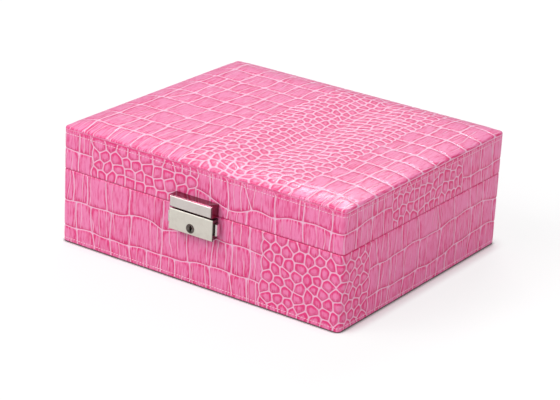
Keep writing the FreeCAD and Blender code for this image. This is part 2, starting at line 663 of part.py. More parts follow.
def pulls():
    """Ribbon loops on the tray's end walls."""
    face = TRAY_X - CARD
    low_y = -PULL_W / 2
    centre = FreeCAD.Vector(face - RIBBON, low_y, TRAY_TOP + PULL_R + SEAM_SLIT)
    loop = Part.makeCylinder(PULL_R, PULL_W, centre, Y_AXIS)
    loop = loop.cut(Part.makeCylinder(PULL_R - RIBBON, PULL_W, centre, Y_AXIS))
    foot_z = (TRAY_TOP - PULL_FOOT, centre.z - PULL_R + RIBBON / 2)
    foot = box((face - 2 * RIBBON, face), (low_y, -low_y), foot_z)
    right = loop.fuse(foot).removeSplitter()
    return {"tray_pull_right": right, "tray_pull_left": mirrored(right)}


def main():
    """Write every piece to its own file."""
    os.makedirs("parts", exist_ok=True)
    sections = (base_boards, base_skins, lower_layer, lock, hasp, hinges, lid_boards, lid_skins, mirror,
                tray, ring_rolls, pulls)
    for section in sections:
        for name, shape in section().items():
            shape.exportStep(os.path.join("parts", name + ".step"))
            print(name, len(shape.Solids), shape.isValid(), round(shape.Volume, 1))


main()
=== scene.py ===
"""Looks of a jewellery case in pink embossed leather: skins, stitching, padding, finishes and studio."""
import json
import logging
import math
from abc import ABC, abstractmethod
from collections.abc import Callable, Sequence
from dataclasses import dataclass, field
from enum import Enum

import bpy
import numpy as np
from mathutils import Color, Euler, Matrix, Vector


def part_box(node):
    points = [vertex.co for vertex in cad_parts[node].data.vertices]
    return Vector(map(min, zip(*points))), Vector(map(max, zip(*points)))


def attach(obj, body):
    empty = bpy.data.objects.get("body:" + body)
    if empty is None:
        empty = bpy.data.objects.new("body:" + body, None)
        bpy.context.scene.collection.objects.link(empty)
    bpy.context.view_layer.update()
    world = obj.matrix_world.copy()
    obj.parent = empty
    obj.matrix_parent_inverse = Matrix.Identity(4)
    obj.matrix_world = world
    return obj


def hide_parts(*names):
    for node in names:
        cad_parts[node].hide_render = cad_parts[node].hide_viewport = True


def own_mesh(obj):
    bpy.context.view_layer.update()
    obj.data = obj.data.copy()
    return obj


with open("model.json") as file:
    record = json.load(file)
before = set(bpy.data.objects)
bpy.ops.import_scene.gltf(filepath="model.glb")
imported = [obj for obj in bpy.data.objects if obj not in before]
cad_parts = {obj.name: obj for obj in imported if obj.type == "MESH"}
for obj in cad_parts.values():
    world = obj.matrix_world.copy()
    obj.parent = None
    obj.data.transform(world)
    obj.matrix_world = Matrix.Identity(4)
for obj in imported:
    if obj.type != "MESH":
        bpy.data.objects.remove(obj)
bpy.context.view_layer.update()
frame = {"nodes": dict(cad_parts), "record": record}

LOG = logging.getLogger("jewellery_case")
MM = 0.001
QUARTER = math.pi / 2
TINY = 1e-9
Array = np.ndarray
Piece = bpy.types.Object
Material = bpy.types.Material
Triple = tuple[float, float, float]
Colour = tuple[float, float, float, float]
WHITE: Colour = (1.0, 1.0, 1.0, 1.0)


def paint(red: int, green: int, blue: int) -> Colour:
    """Turn a screen colour, from 0 to 255, into the linear one that a shader takes."""
    linear = Color([level / 255 for level in (red, green, blue)]).from_srgb_to_scene_linear()
    return (*linear, 1.0)


@dataclass(frozen=True)
class Sock:
    """Output of a node; arithmetic on it adds Math nodes."""

    nodes: "Nodes"
    socket: bpy.types.NodeSocket

    def __add__(self, other: "Sock | float") -> "Sock":
        """Sum with a value."""
        return self.nodes.math("ADD", self, other)

    def __radd__(self, other: float) -> "Sock":
        """Sum with a number on the left."""
        return self.nodes.math("ADD", other, self)

    def __sub__(self, other: "Sock | float") -> "Sock":
        """Difference from a value."""
        return self.nodes.math("SUBTRACT", self, other)

    def __rsub__(self, other: float) -> "Sock":
        """Difference from a number on the left."""
        return self.nodes.math("SUBTRACT", other, self)

    def __mul__(self, other: "Sock | float") -> "Sock":
        """Product with a value."""
        return self.nodes.math("MULTIPLY", self, other)

    def __rmul__(self, other: float) -> "Sock":
        """Product with a number on the left."""
        return self.nodes.math("MULTIPLY", other, self)

    def most(self, other: "Sock | float") -> "Sock":
        """Larger of two values."""
        return self.nodes.math("MAXIMUM", self, other)

    def clamped(self) -> "Sock":
        """Value held between 0 and 1."""
        return self.nodes.math("MINIMUM", self.most(0.0), 1.0)


Input = Sock | float | Sequence[float]
Limits = tuple[float, float]


class Nodes:
    """Node tree under construction."""

    MIX_FIRST = 6
    MIX_SECOND = 7
    MIX_COLOUR = 2
    SAMPLES = 8

    def __init__(self, tree: bpy.types.NodeTree) -> None:
        """Start with an empty tree."""
        self.tree = tree
        self.tree.nodes.clear()

    def give(self, socket: bpy.types.NodeSocket, given: Input) -> None:
        """Link or set one input.

        Args:
            socket: The input.
            given: What feeds it, or its fixed value.
        """
        if isinstance(given, Sock):
            self.tree.links.new(given.socket, socket)
        else:
            socket.default_value = given

    def node(self, kind: str, settings: dict[str, object], inputs: dict[int | str, Input]) -> bpy.types.Node:
        """Add a node.

        Args:
            kind: Type of the node.
            settings: Properties set before anything else.
            inputs: Values or links by socket name or number.

        Returns:
            The new node.
        """
        made = self.tree.nodes.new(kind)
        for key, setting in settings.items():
            setattr(made, key, setting)
        for key, given in inputs.items():
            self.give(made.inputs[key], given)
        return made

    def out(self, node: bpy.types.Node, key: int | str = 0) -> Sock:
        """Wrap one of a node's outputs."""
        return Sock(self, node.outputs[key])

    def math(self, operation: str, first: Input, second: Input) -> Sock:
        """Add a Math node on two values."""
        return self.out(self.node("ShaderNodeMath", {"operation": operation}, {0: first, 1: second}))

    def ease(self, given: Sock, limits: Limits) -> Sock:
        """Rise smoothly from 0 at the lower limit to 1 at the upper one."""
        inputs = {"Value": given, "From Min": limits[0], "From Max": limits[1]}
        return self.out(self.node("ShaderNodeMapRange", {"interpolation_type": "SMOOTHSTEP"}, inputs))

    def mix(self, share: Input, first: Input, second: Input) -> Sock:
        """Blend two colours."""
        inputs = {0: share, self.MIX_FIRST: first, self.MIX_SECOND: second}
        return self.out(self.node("ShaderNodeMix", {"data_type": "RGBA"}, inputs), self.MIX_COLOUR)

    def parts(self, vector: Sock) -> tuple[Sock, Sock, Sock]:
        """Split a vector into its three values."""
        split = self.node("ShaderNodeSeparateXYZ", {}, {0: vector})
        return self.out(split, 0), self.out(split, 1), self.out(split, 2)

    def attribute(self, name: str) -> tuple[Sock, Sock, Sock]:
        """Read the three values of a vector attribute."""
        return self.parts(self.out(self.node("ShaderNodeAttribute", {"attribute_name": name}, {}), "Vector"))

    def place(self) -> Sock:
        """Object coordinates."""
        return self.out(self.node("ShaderNodeTexCoord", {}, {}), "Object")

    def stretched(self, vector: Sock, scale: Sequence[float], turn: float = 0.0) -> Sock:
        """Scale, and turn about the third axis, the coordinates of a pattern."""
        inputs = {"Vector": vector, "Rotation": (0.0, 0.0, turn), "Scale": scale}
        return self.out(self.node("ShaderNodeMapping", {}, inputs))

    def noise(self, vector: Sock, scale: float = 1.0, detail: float = 2.0, rough: float = 0.5) -> Sock:
        """Soft noise from 0 to 1."""
        inputs = {"Vector": vector, "Scale": scale, "Detail": detail, "Roughness": rough}
        return self.out(self.node("ShaderNodeTexNoise", {}, inputs), "Fac")

    def joined(self, first: Input, second: Input, third: Input) -> Sock:
        """Make a vector of three values."""
        return self.out(self.node("ShaderNodeCombineXYZ", {}, {0: first, 1: second, 2: third}))

    def seen(self) -> Sock:
        """1 for what the eye sees, straight or through clear glass."""
        rays = self.node("ShaderNodeLightPath", {}, {})
        return self.out(rays, "Is Camera Ray").most(self.out(rays, "Is Transmission Ray"))

    def free(self, reach: float) -> Sock:
        """Openness of a place: 1 with nothing within reach, less beside something."""
        near = self.node("ShaderNodeAmbientOcclusion", {"samples": self.SAMPLES}, {"Distance": reach})
        return self.out(near, "AO")

    def blend(self, share: Sock, first: Sock, second: Sock) -> Sock:
        """Blend two shaders."""
        return self.out(self.node("ShaderNodeMixShader", {}, {0: share, 1: first, 2: second}))


class Shader(Nodes):
    """Material under construction: one principled surface and the nodes that feed it."""

    def __init__(self, name: str) -> None:
        """Start a plain material.

        Args:
            name: Name of the material.
        """
        self.material = bpy.data.materials.new(name)
        self.material.use_nodes = True
        super().__init__(self.material.node_tree)
        self.surface = self.node("ShaderNodeBsdfPrincipled", {}, {})
        self.node("ShaderNodeOutputMaterial", {}, {0: self.out(self.surface)})

    def bump(self, height: Sock, strength: float, distance: float) -> None:
        """Raise the surface by a height map, where 1 stands for a distance in millimetres."""
        inputs = {"Strength": strength, "Distance": distance * MM, "Height": height}
        self.set(Normal=self.out(self.node("ShaderNodeBump", {}, inputs)))

    def set(self, **sockets: Input) -> None:
        """Set or link sockets of the surface, named with underscores for spaces."""
        for name, given in sockets.items():
            self.give(self.surface.inputs[name.replace("_", " ")], given)


@dataclass(frozen=True)
class Finish(ABC):
    """Look of one material."""

    name: str

    def make(self) -> Material:
        """Build the material.

        Returns:
            The material.
        """
        shader = Shader(self.name)
        self.coat(shader)
        return shader.material

    @abstractmethod
    def coat(self, shader: Shader) -> None:
        """Wire the look into a plain material."""


@dataclass(frozen=True)
class Noise:
    """Noise on Object coordinates: changes in a metre, fineness, and any stretch and turn."""

    rate: float
    detail: float = 2.0
    rough: float = 0.5
    stretch: Triple | None = None
    turn: float = 0.0

    def over(self, shader: Shader, at: Sock) -> Sock:
        """Lay the noise on a piece."""
        place = shader.stretched(at, self.stretch, self.turn) if self.stretch else at
        return shader.noise(place, self.rate, self.detail, self.rough)


@dataclass(frozen=True)
class Pattern:
    """Noise over the flat hide: changes in a millimetre, shift from scale to scale, and fineness."""

    along: float
    across: float
    shift: float
    detail: float = 2.0
    rough: float = 0.5

    def over(self, shader: Shader, along: Sock, across: Sock, tint: Sock) -> Sock:
        """Lay the noise on a hide, by the places along and across it and the tint of a scale."""
        at = shader.joined(along * self.along, across * self.across, tint * self.shift if self.shift else 0.0)
        return shader.noise(at, 1.0, self.detail, self.rough)


@dataclass(frozen=True)
class Leather(Finish):
    """Glossy embossed leather, for pieces that carry the attributes hide and flat.

    Scales have pale joints, a ring of deeper colour inside them, fine creases and a few pale wrinkles.
    Painted shade darkens the upper wall of each row joint, the ring and top of each small scale and the sides
    of each wrinkle, and painted light brightens the bottom of each small scale. Limits on the rim are
    distances from the joint in millimetres, and a tone is a share of the deep colour.
    """

    body: Colour = paint(243, 132, 182)
    deep: Colour = paint(228, 50, 124)
    joint: Colour = paint(246, 194, 220)
    crease: Pattern = Pattern(1 / 1.3, 1 / 8.0, 40.0, 2.5, 0.62)
    cloud: Pattern = Pattern(0.12, 0.12, 9.0)
    grain: Pattern = Pattern(2.6, 2.6, 0.0, 3.0, 0.6)
    sway: Pattern = Pattern(0.06, 1 / 34.0, 23.0)
    worn: Pattern = Pattern(0.3, 1 / 34.0, 31.0)
    ring_start: Limits = (0.3, 0.9)
    ring_end: Limits = (1.1, 2.7)
    joint_end: Limits = (0.2, 0.6)
    joint_flank: float = 0.06
    joint_fade: float = 0.28
    # Painted shade on the upper wall of each row joint, which also hides the pale joint there.
    groove_shade_end: Limits = (0.5, 1.3)
    groove_shade_tone: float = 0.9
    groove_shade_hides: float = 0.95
    tone: float = 0.16
    ring_tone: float = 0.46
    # Painted shade and light on small scales: a darker ring, darker at the top and lighter at the bottom.
    flank_ring_shade: float = 0.3
    crescent_shading: float = 0.46
    crease_tone: float = 2.8
    crease_ring: float = 1.8
    crease_flank: float = 1.4
    cloud_tone: float = 0.5
    tint_tone: float = 0.25
    wrinkle_pitch: float = 6.0
    wrinkle_sway: float = 1.6
    wrinkle_shift: float = 5.0
    wrinkle_end: Limits = (0.02, 0.1)
    wrinkle_pale: float = 0.72
    # Painted shade beside each pale wrinkle.
    wrinkle_shade_end: Limits = (0.12, 0.34)
    wrinkle_shade_tone: float = 0.34
    worn_limits: Limits = (0.44, 0.56)
    rough: float = 0.32
    crease_rough: float = 0.16
    grain_rough: float = 0.1
    joint_rough: float = 0.08
    gloss: float = 0.22
    joint_dull: float = 0.12
    crease_lift: float = 0.8
    grain_lift: float = 0.35
    wrinkle_lift: float = 0.9

    def coat(self, shader: Shader) -> None:
        """Wire the look into a plain material.

        Args:
            shader: The material.
        """
        rim, under, tint = shader.attribute("hide")
        along, across, flank = shader.attribute("flat")
        crease, cloud, grain, sway, worn = (pattern.over(shader, along, across, tint) for pattern in (
            self.crease, self.cloud, self.grain, self.sway, self.worn))
        phase = along * (1 / self.wrinkle_pitch) + sway * self.wrinkle_sway + tint * self.wrinkle_shift
        off = shader.math("PINGPONG", phase, 0.5)
        creased = shader.ease(worn, self.worn_limits) * (1 - flank)
        wrinkle = (1 - shader.ease(off, self.wrinkle_end)) * creased
        beside = (1 - shader.ease(off, self.wrinkle_shade_end)) * creased
        ring = shader.ease(rim, self.ring_start) * (1 - shader.ease(rim, self.ring_end))
        lower = under.most(0.0)
        # The deeper ring of small scales is painted shade, with painted shade at their top and painted light
        # at their bottom.
        depth = self.tone + ring * (self.ring_tone + flank * (self.flank_ring_shade - under * self.crescent_shading))
        creasing = self.crease_tone + ring * self.crease_ring - flank * self.crease_flank
        depth = depth + (crease - 0.5) * creasing
        depth = depth + (cloud - 0.5) * self.cloud_tone + (tint - 0.5) * self.tint_tone
        # Painted shade along both sides of each pale wrinkle.
        depth = depth + beside * self.wrinkle_shade_tone
        pale = 1 - shader.ease(rim - flank * self.joint_flank, self.joint_end)
        pale = pale * (1 - flank * self.joint_fade)
        # Painted shade on the upper wall of each row joint, where the pale joint is hidden too.
        painted_shading = (1 - shader.ease(rim, self.groove_shade_end)) * lower
        light = (pale * (1 - lower * self.groove_shade_hides)).most(wrinkle * self.wrinkle_pale).clamped()
        colour = shader.mix(depth.clamped(), self.body, self.deep)
        colour = shader.mix(light, colour, self.joint)
        rough = self.rough + (crease - 0.5) * self.crease_rough + grain * self.grain_rough
        shader.set(Base_Color=shader.mix((painted_shading * self.groove_shade_tone).clamped(), colour, self.deep),
                   Roughness=rough + pale * self.joint_rough, Coat_Weight=self.gloss - pale * self.joint_dull,
                   Coat_Roughness=0.14, Specular_IOR_Level=0.45)
        lift = crease * self.crease_lift + grain * self.grain_lift - wrinkle * self.wrinkle_lift
        shader.bump(lift, strength=0.55, distance=0.22)


@dataclass(frozen=True)
class Velvet(Finish):
    """Short pile velvet with brushed patches and a soft sheen, on Object coordinates."""

    nap: Colour
    shade: Colour
    strokes: Noise = Noise(1.0, 3.0, 0.55, stretch=(26.0, 40.0, 40.0), turn=0.5)
    pile: Noise = Noise(2400.0, 2.0, 0.7)
    weave: Noise = Noise(700.0, 2.0, 0.6)
    stroke_limits: Limits = (0.3, 0.72)
    stroke_tone: float = 0.34
    pile_tone: float = 0.9
    weave_tone: float = 0.5
    tone: float = 0.22
    rough: float = 0.82
    pile_rough: float = 0.2
    pile_lift: float = 0.7
    weave_lift: float = 0.5

    def coat(self, shader: Shader) -> None:
        """Wire the look into a plain material.

        Args:
            shader: The material.
        """
        at = shader.place()
        brushed, pile, weave = (noise.over(shader, at) for noise in (self.strokes, self.pile, self.weave))
        share = shader.ease(brushed, self.stroke_limits) * self.stroke_tone + (pile - 0.5) * self.pile_tone
        share = share + (weave - 0.5) * self.weave_tone + self.tone
        shader.set(Base_Color=shader.mix(share.clamped(), self.nap, self.shade),
                   Roughness=self.rough + (pile - 0.5) * self.pile_rough,
                   Sheen_Weight=0.55, Sheen_Roughness=0.35, Sheen_Tint=self.nap, Specular_IOR_Level=0.15)
        shader.bump(pile * self.pile_lift + weave * self.weave_lift, strength=0.6, distance=0.25)


@dataclass(frozen=True)
class Nickel(Finish):
    """Nickel plate with a faint tarnish, on Object coordinates.

    It is polished all over, or has a satin front before a place along Y and polished sides painted in a
    darker colour, a painted reflection of the shaded leather round them.
    """

    plate: Colour
    tarnish: Colour
    polished: float
    satin: float = 0.0
    satin_front: float | None = None
    # Colour of the polished sides: a painted dark reflection of the shaded leather round them.
    side: Colour | None = None
    clouds: Noise = Noise(160.0, 3.0, 0.6)
    grit: Noise = Noise(1.0, 2.0, 0.6, stretch=(500.0, 500.0, 2600.0))
    cloud_rough: float = 0.06
    grit_rough: float = 0.03
    satin_grit: float = 0.1
    tarnish_limits: Limits = (0.45, 0.8)
    tarnish_most: float = 0.5
    front_edge: float = 0.2 * MM
    front_dull: float = 0.35

    def coat(self, shader: Shader) -> None:
        """Wire the look into a plain material.

        Args:
            shader: The material.
        """
        at = shader.place()
        clouds, grit = self.clouds.over(shader, at), self.grit.over(shader, at)
        stain = shader.ease(clouds, self.tarnish_limits) * self.tarnish_most
        colour = shader.mix(stain, self.plate, self.tarnish)
        rough = self.polished + clouds * self.cloud_rough + grit * self.grit_rough
        metal: Input = 1.0
        if self.satin_front is not None:
            edge = (self.satin_front, self.satin_front + self.front_edge)
            front = 1 - shader.ease(shader.parts(at)[1], edge)
            rough = rough + front * (self.satin + (grit - 0.5) * self.satin_grit)
            # The polished sides take the painted dark reflection.
            colour = shader.mix(front, self.side or self.plate, colour)
            metal = 1 - front * self.front_dull
        shader.set(Base_Color=colour, Roughness=rough, Metallic=metal)
        shader.bump(grit, strength=0.12, distance=0.04)


@dataclass(frozen=True)
class Fibre(Finish):
    """Felt, board or foam, on Object coordinates, with the lift of its grain in millimetres."""

    light: Colour
    dark: Colour
    grain: float
    lift: float
    broader: float = 14.0
    fine_tone: float = 1.3
    broad_tone: float = 0.7
    tone: float = 0.5
    rough: float = 0.86
    fine_rough: float = 0.1

    def coat(self, shader: Shader) -> None:
        """Wire the look into a plain material.

        Args:
            shader: The material.
        """
        at = shader.place()
        fine = shader.noise(at, self.grain, 3.0, 0.7)
        broad = shader.noise(at, self.grain / self.broader)
        share = (fine - 0.5) * self.fine_tone + (broad - 0.5) * self.broad_tone + self.tone
        colour = shader.mix(share.clamped(), self.light, self.dark)
        shader.set(Base_Color=colour, Roughness=self.rough + fine * self.fine_rough)
        shader.bump(fine, strength=0.6, distance=self.lift)


@dataclass(frozen=True)
class Silvering(Finish):
    """Mirror glass with a trace of haze, on Object coordinates."""

    tint: Colour = paint(238, 243, 243)
    edge: Colour = paint(196, 214, 210)
    haze: Noise = Noise(45.0, 4.0, 0.6)
    stain_limits: Limits = (0.55, 0.9)
    stain_most: float = 0.3
    haze_limits: Limits = (0.6, 0.9)
    haze_rough: float = 0.03
    rough: float = 0.015

    def coat(self, shader: Shader) -> None:
        """Wire the look into a plain material.

        Args:
            shader: The material.
        """
        haze = self.haze.over(shader, shader.place())
        stain = shader.ease(haze, self.stain_limits) * self.stain_most
        shader.set(Base_Color=shader.mix(stain, self.tint, self.edge), Metallic=1.0,
                   Roughness=self.rough + shader.ease(haze, self.haze_limits) * self.haze_rough)


@dataclass(frozen=True)
class Thread(Finish):
    """Twisted thread, on Object coordinates."""

    light: Colour
    dark: Colour
    twist: float
    gloss: float
    drawn_out: float = 0.3
    turn: float = 0.6
    strand_limits: Limits = (0.35, 0.7)
    strand_rough: float = 0.2

    def coat(self, shader: Shader) -> None:
        """Wire the look into a plain material.

        Args:
            shader: The material.
        """
        rates = (self.twist, self.twist, self.twist * self.drawn_out)
        strand = Noise(1.0, stretch=rates, turn=self.turn).over(shader, shader.place())
        shader.set(Base_Color=shader.mix(shader.ease(strand, self.strand_limits), self.light, self.dark),
                   Roughness=self.gloss + strand * self.strand_rough, Sheen_Weight=0.2)
        shader.bump(strand, strength=0.5, distance=0.1)


class Desk:
    """Steps on the modelling bench that several pieces share."""

    @staticmethod
    def only(obj: Piece) -> None:
        """Select one object and make it active.

        Args:
            obj: The object.
        """
        bpy.ops.object.select_all(action="DESELECT")
        obj.select_set(True)
        bpy.context.view_layer.objects.active = obj

    @staticmethod
    def reopen(obj: Piece) -> None:
        """Open an object's mesh with its selection as it is."""
        Desk.only(obj)
        bpy.ops.object.mode_set(mode="EDIT")

    @staticmethod
    def edit(obj: Piece, mode: str = "VERT") -> None:
        """Open an object's mesh with nothing selected.

        Args:
            obj: The object.
            mode: What a selection is made of.
        """
        Desk.reopen(obj)
        bpy.ops.mesh.select_mode(type=mode)
        bpy.ops.mesh.select_all(action="DESELECT")

    @staticmethod
    def whole(obj: Piece) -> None:
        """Open an object's mesh with everything selected."""
        Desk.edit(obj)
        bpy.ops.mesh.select_all(action="SELECT")

    @staticmethod
    def done() -> None:
        """Close the mesh."""
        bpy.ops.object.mode_set(mode="OBJECT")

    @staticmethod
    def cut(place: Sequence[float], normal: Sequence[float], trim: bool = False) -> None:
        """Cut the open mesh by a plane, and drop what lies past it where asked."""
        bpy.ops.mesh.select_all(action="SELECT")
        bpy.ops.mesh.bisect(plane_co=place, plane_no=normal, clear_outer=trim)

    @staticmethod
    def new(name: str, points: Array, faces: list[list[int]]) -> Piece:
        """Make an object of points and faces.

        Args:
            name: Its name.
            points: Places in millimetres.
            faces: Each face's points by number.

        Returns:
            The object, in the scene.
        """
        mesh = bpy.data.meshes.new(name)
        mesh.from_pydata((points * MM).tolist(), [], faces)
        obj = bpy.data.objects.new(name, mesh)
        bpy.context.scene.collection.objects.link(obj)
        return obj

    @staticmethod
    def rows(items: bpy.types.bpy_prop_collection, key: str, width: int, kind: type) -> Array:
        """Copy one property of a mesh's vertices, edges or attribute values.

        Args:
            items: What has the property.
            key: Its name.
            width: Numbers in one value.
            kind: Type of the numbers.

        Returns:
            One row a value.
        """
        flat = np.empty(len(items) * width, dtype=kind)
        items.foreach_get(key, flat)
        return flat.reshape(-1, width)

    @staticmethod
    def points(obj: Piece) -> Array:
        """Places of the vertices in millimetres, one row a vertex."""
        return Desk.rows(obj.data.vertices, "co", 3, float) / MM

    @staticmethod
    def move(obj: Piece, points: Array) -> None:
        """Set the vertices' places from millimetres."""
        obj.data.vertices.foreach_set("co", (points * MM).ravel())
        obj.data.update()

    @staticmethod
    def chosen(obj: Piece) -> Array:
        """Tell which vertices are selected, in object mode, with a flag a vertex."""
        return Desk.rows(obj.data.vertices, "select", 1, bool)[:, 0]

    @staticmethod
    def choose(obj: Piece, wanted: Array) -> None:
        """Select vertices and the edges between them, in object mode.

        Args:
            obj: The object.
            wanted: A flag a vertex.
        """
        mesh = obj.data
        mesh.vertices.foreach_set("select", wanted)
        mesh.edges.foreach_set("select", wanted[Desk.rows(mesh.edges, "vertices", 2, np.int32)].all(axis=1))
        mesh.polygons.foreach_set("select", np.zeros(len(mesh.polygons), dtype=bool))

    @staticmethod
    def read(obj: Piece, name: str) -> Array:
        """Copy a vector attribute of the vertices, one row a vertex."""
        return Desk.rows(obj.data.attributes[name].data, "vector", 3, np.float32).astype(float)

    @staticmethod
    def write(obj: Piece, name: str, rows: Array) -> None:
        """Store a vector attribute of the vertices."""
        held = obj.data.attributes.get(name) or obj.data.attributes.new(name, "FLOAT_VECTOR", "POINT")
        held.data.foreach_set("vector", rows.astype(np.float32).ravel())

    @staticmethod
    def apply(obj: Piece) -> None:
        """Apply every modifier of an object.

        Args:
            obj: The object.
        """
        Desk.only(obj)
        for name in [modifier.name for modifier in obj.modifiers]:
            bpy.ops.object.modifier_apply(modifier=name)

    @staticmethod
    def dress(obj: Piece, material: Material) -> None:
        """Give an object one material."""
        obj.data.materials.clear()
        obj.data.materials.append(material)


class Grain(Enum):
    """Part of the hide that a stretch of leather shows."""

    BELLY = "large scales in rows"
    FLANK = "small scales"


@dataclass(frozen=True)
class Bump:
    """Swell of a row line: its middle, its reach and its rise, in millimetres."""

    at: float
    reach: float
    rise: float


@dataclass(frozen=True)
class RowLine:
    """Joint between two rows of scales."""

    height: float
    bumps: tuple[Bump, ...] = ()

    def level(self, along: Array) -> Array:
        """Height of the line at places along it."""
        swells = (bump.rise * np.exp(-(((along - bump.at) / bump.reach) ** 2)) for bump in self.bumps)
        return sum(swells, np.full(np.shape(along), self.height))


Column = float | tuple[float, float]


@dataclass(frozen=True)
class Zone:
    """Upright stretch of hide with one kind of grain.

    A column is where the joint between two scales of a row stands: one place, or its foot and its head.
    """

    grain: Grain
    start: float
    end: float
    rows: tuple[RowLine, ...]
    columns: tuple[tuple[Column, ...], ...] = ()
    leans: tuple[float, ...] = ()
    pitch: tuple[float, float] = (8.0, 7.4)
    lean: float = 0.0
    offset: float = 0.25
    chevron: float = 0.0

    @property
    def low(self) -> float:
        """Lower edge."""
        return self.rows[0].height

    @property
    def high(self) -> float:
        """Upper edge."""
        return self.rows[-1].height

    def span(self, along: Array) -> Array:
        """Places along the zone, from -1 at its start to 1 at its end."""
        return (2 * along - self.start - self.end) / (self.end - self.start)


@dataclass(frozen=True)
class Relief:
    """Section through a scale, in millimetres: joint depth, flank widths, doming and mesh spacing.

    The shoulder of a large scale follows its joint, and that of a small one is drawn in towards the middle.
    The tops of wall and shoulder are shares of the depth. A ring of the crown has three shares: of the
    shoulder's outline, of the doming and of the way in from the shoulder.
    """

    wall: float
    dome: float
    step: float
    rounds: int
    follows: bool
    depth: float = 0.36
    shoulder: float = 0.6
    wall_top: float = -0.62
    shoulder_top: float = -0.05
    shoulder_rounds: int = 2
    crown_rounds: int = 5
    crown: tuple[Triple, ...] = ((0.7, 0.6, 0.3), (0.34, 0.94, 0.66))


@dataclass
class Scale:
    """One scale of the flat hide: its outline, its grain and its own shade."""

    points: Array
    grain: Grain
    tint: float


Level = tuple[Array, float, float, Array]


class Outline:
    """Sums on a closed outline of flat points, anticlockwise."""

    SLACK = 1e-6

    @staticmethod
    def cross(rays: Array) -> Array:
        """Twice the area of the triangle that each edge makes with the origin."""
        after = np.roll(rays, -1, 0)
        return rays[:, 0] * after[:, 1] - rays[:, 1] * after[:, 0]

    @staticmethod
    def area(outline: Array) -> float:
        """Area of an outline, 0 for fewer than three points."""
        return abs(float(np.sum(Outline.cross(outline)))) / 2 if len(outline) > 2 else 0.0

    @staticmethod
    def middle(outline: Array) -> Array:
        """Find the middle of an outline by its area, however its points are spread.

        Args:
            outline: The outline.

        Returns:
            The middle.
        """
        start = outline.mean(axis=0)
        rays = outline - start
        cross = Outline.cross(rays)
        return start + ((rays + np.roll(rays, -1, 0)) * cross[:, None]).sum(axis=0) / (3 * cross.sum())

    @staticmethod
    def inward(outline: Array) -> Array:
        """Directions in from the points of an outline."""
        turned = (np.roll(outline, -1, 0) - np.roll(outline, 1, 0))[:, ::-1] * (-1, 1)
        return turned / np.maximum(np.linalg.norm(turned, axis=1, keepdims=True), TINY)

    @staticmethod
    def rounded(outline: Array, rounds: int) -> Array:
        """Round the corners of an outline.

        Args:
            outline: The outline.
            rounds: How often each point is drawn between its neighbours.

        Returns:
            The rounder outline.
        """
        for _ in range(rounds):
            outline = 0.5 * outline + 0.25 * (np.roll(outline, 1, 0) + np.roll(outline, -1, 0))
        return outline

    @staticmethod
    def split(first: Array, last: Array, step: float) -> Array:
        """Divide an edge into steps, from its first end up to, but without, its last."""
        count = max(1, math.ceil(float(np.linalg.norm(last - first)) / step - Outline.SLACK))
        return first + (last - first) * (np.arange(count)[:, None] / count)

    @staticmethod
    def clip(outline: Array, at: Array, normal: Array) -> Array:
        """Cut off what lies past a line.

        Args:
            outline: Convex outline.
            at: Point on the line.
            normal: Direction of what is cut off.

        Returns:
            The outline that is left.
        """
        side = (outline - at) @ normal
        kept = []
        for number in range(len(outline)):
            after = (number + 1) % len(outline)
            if side[number] <= 0:
                kept.append(outline[number])
            if (side[number] < 0 < side[after]) or (side[after] < 0 < side[number]):
                share = side[number] / (side[number] - side[after])
                kept.append(outline[number] + (outline[after] - outline[number]) * share)
        return np.array(kept)


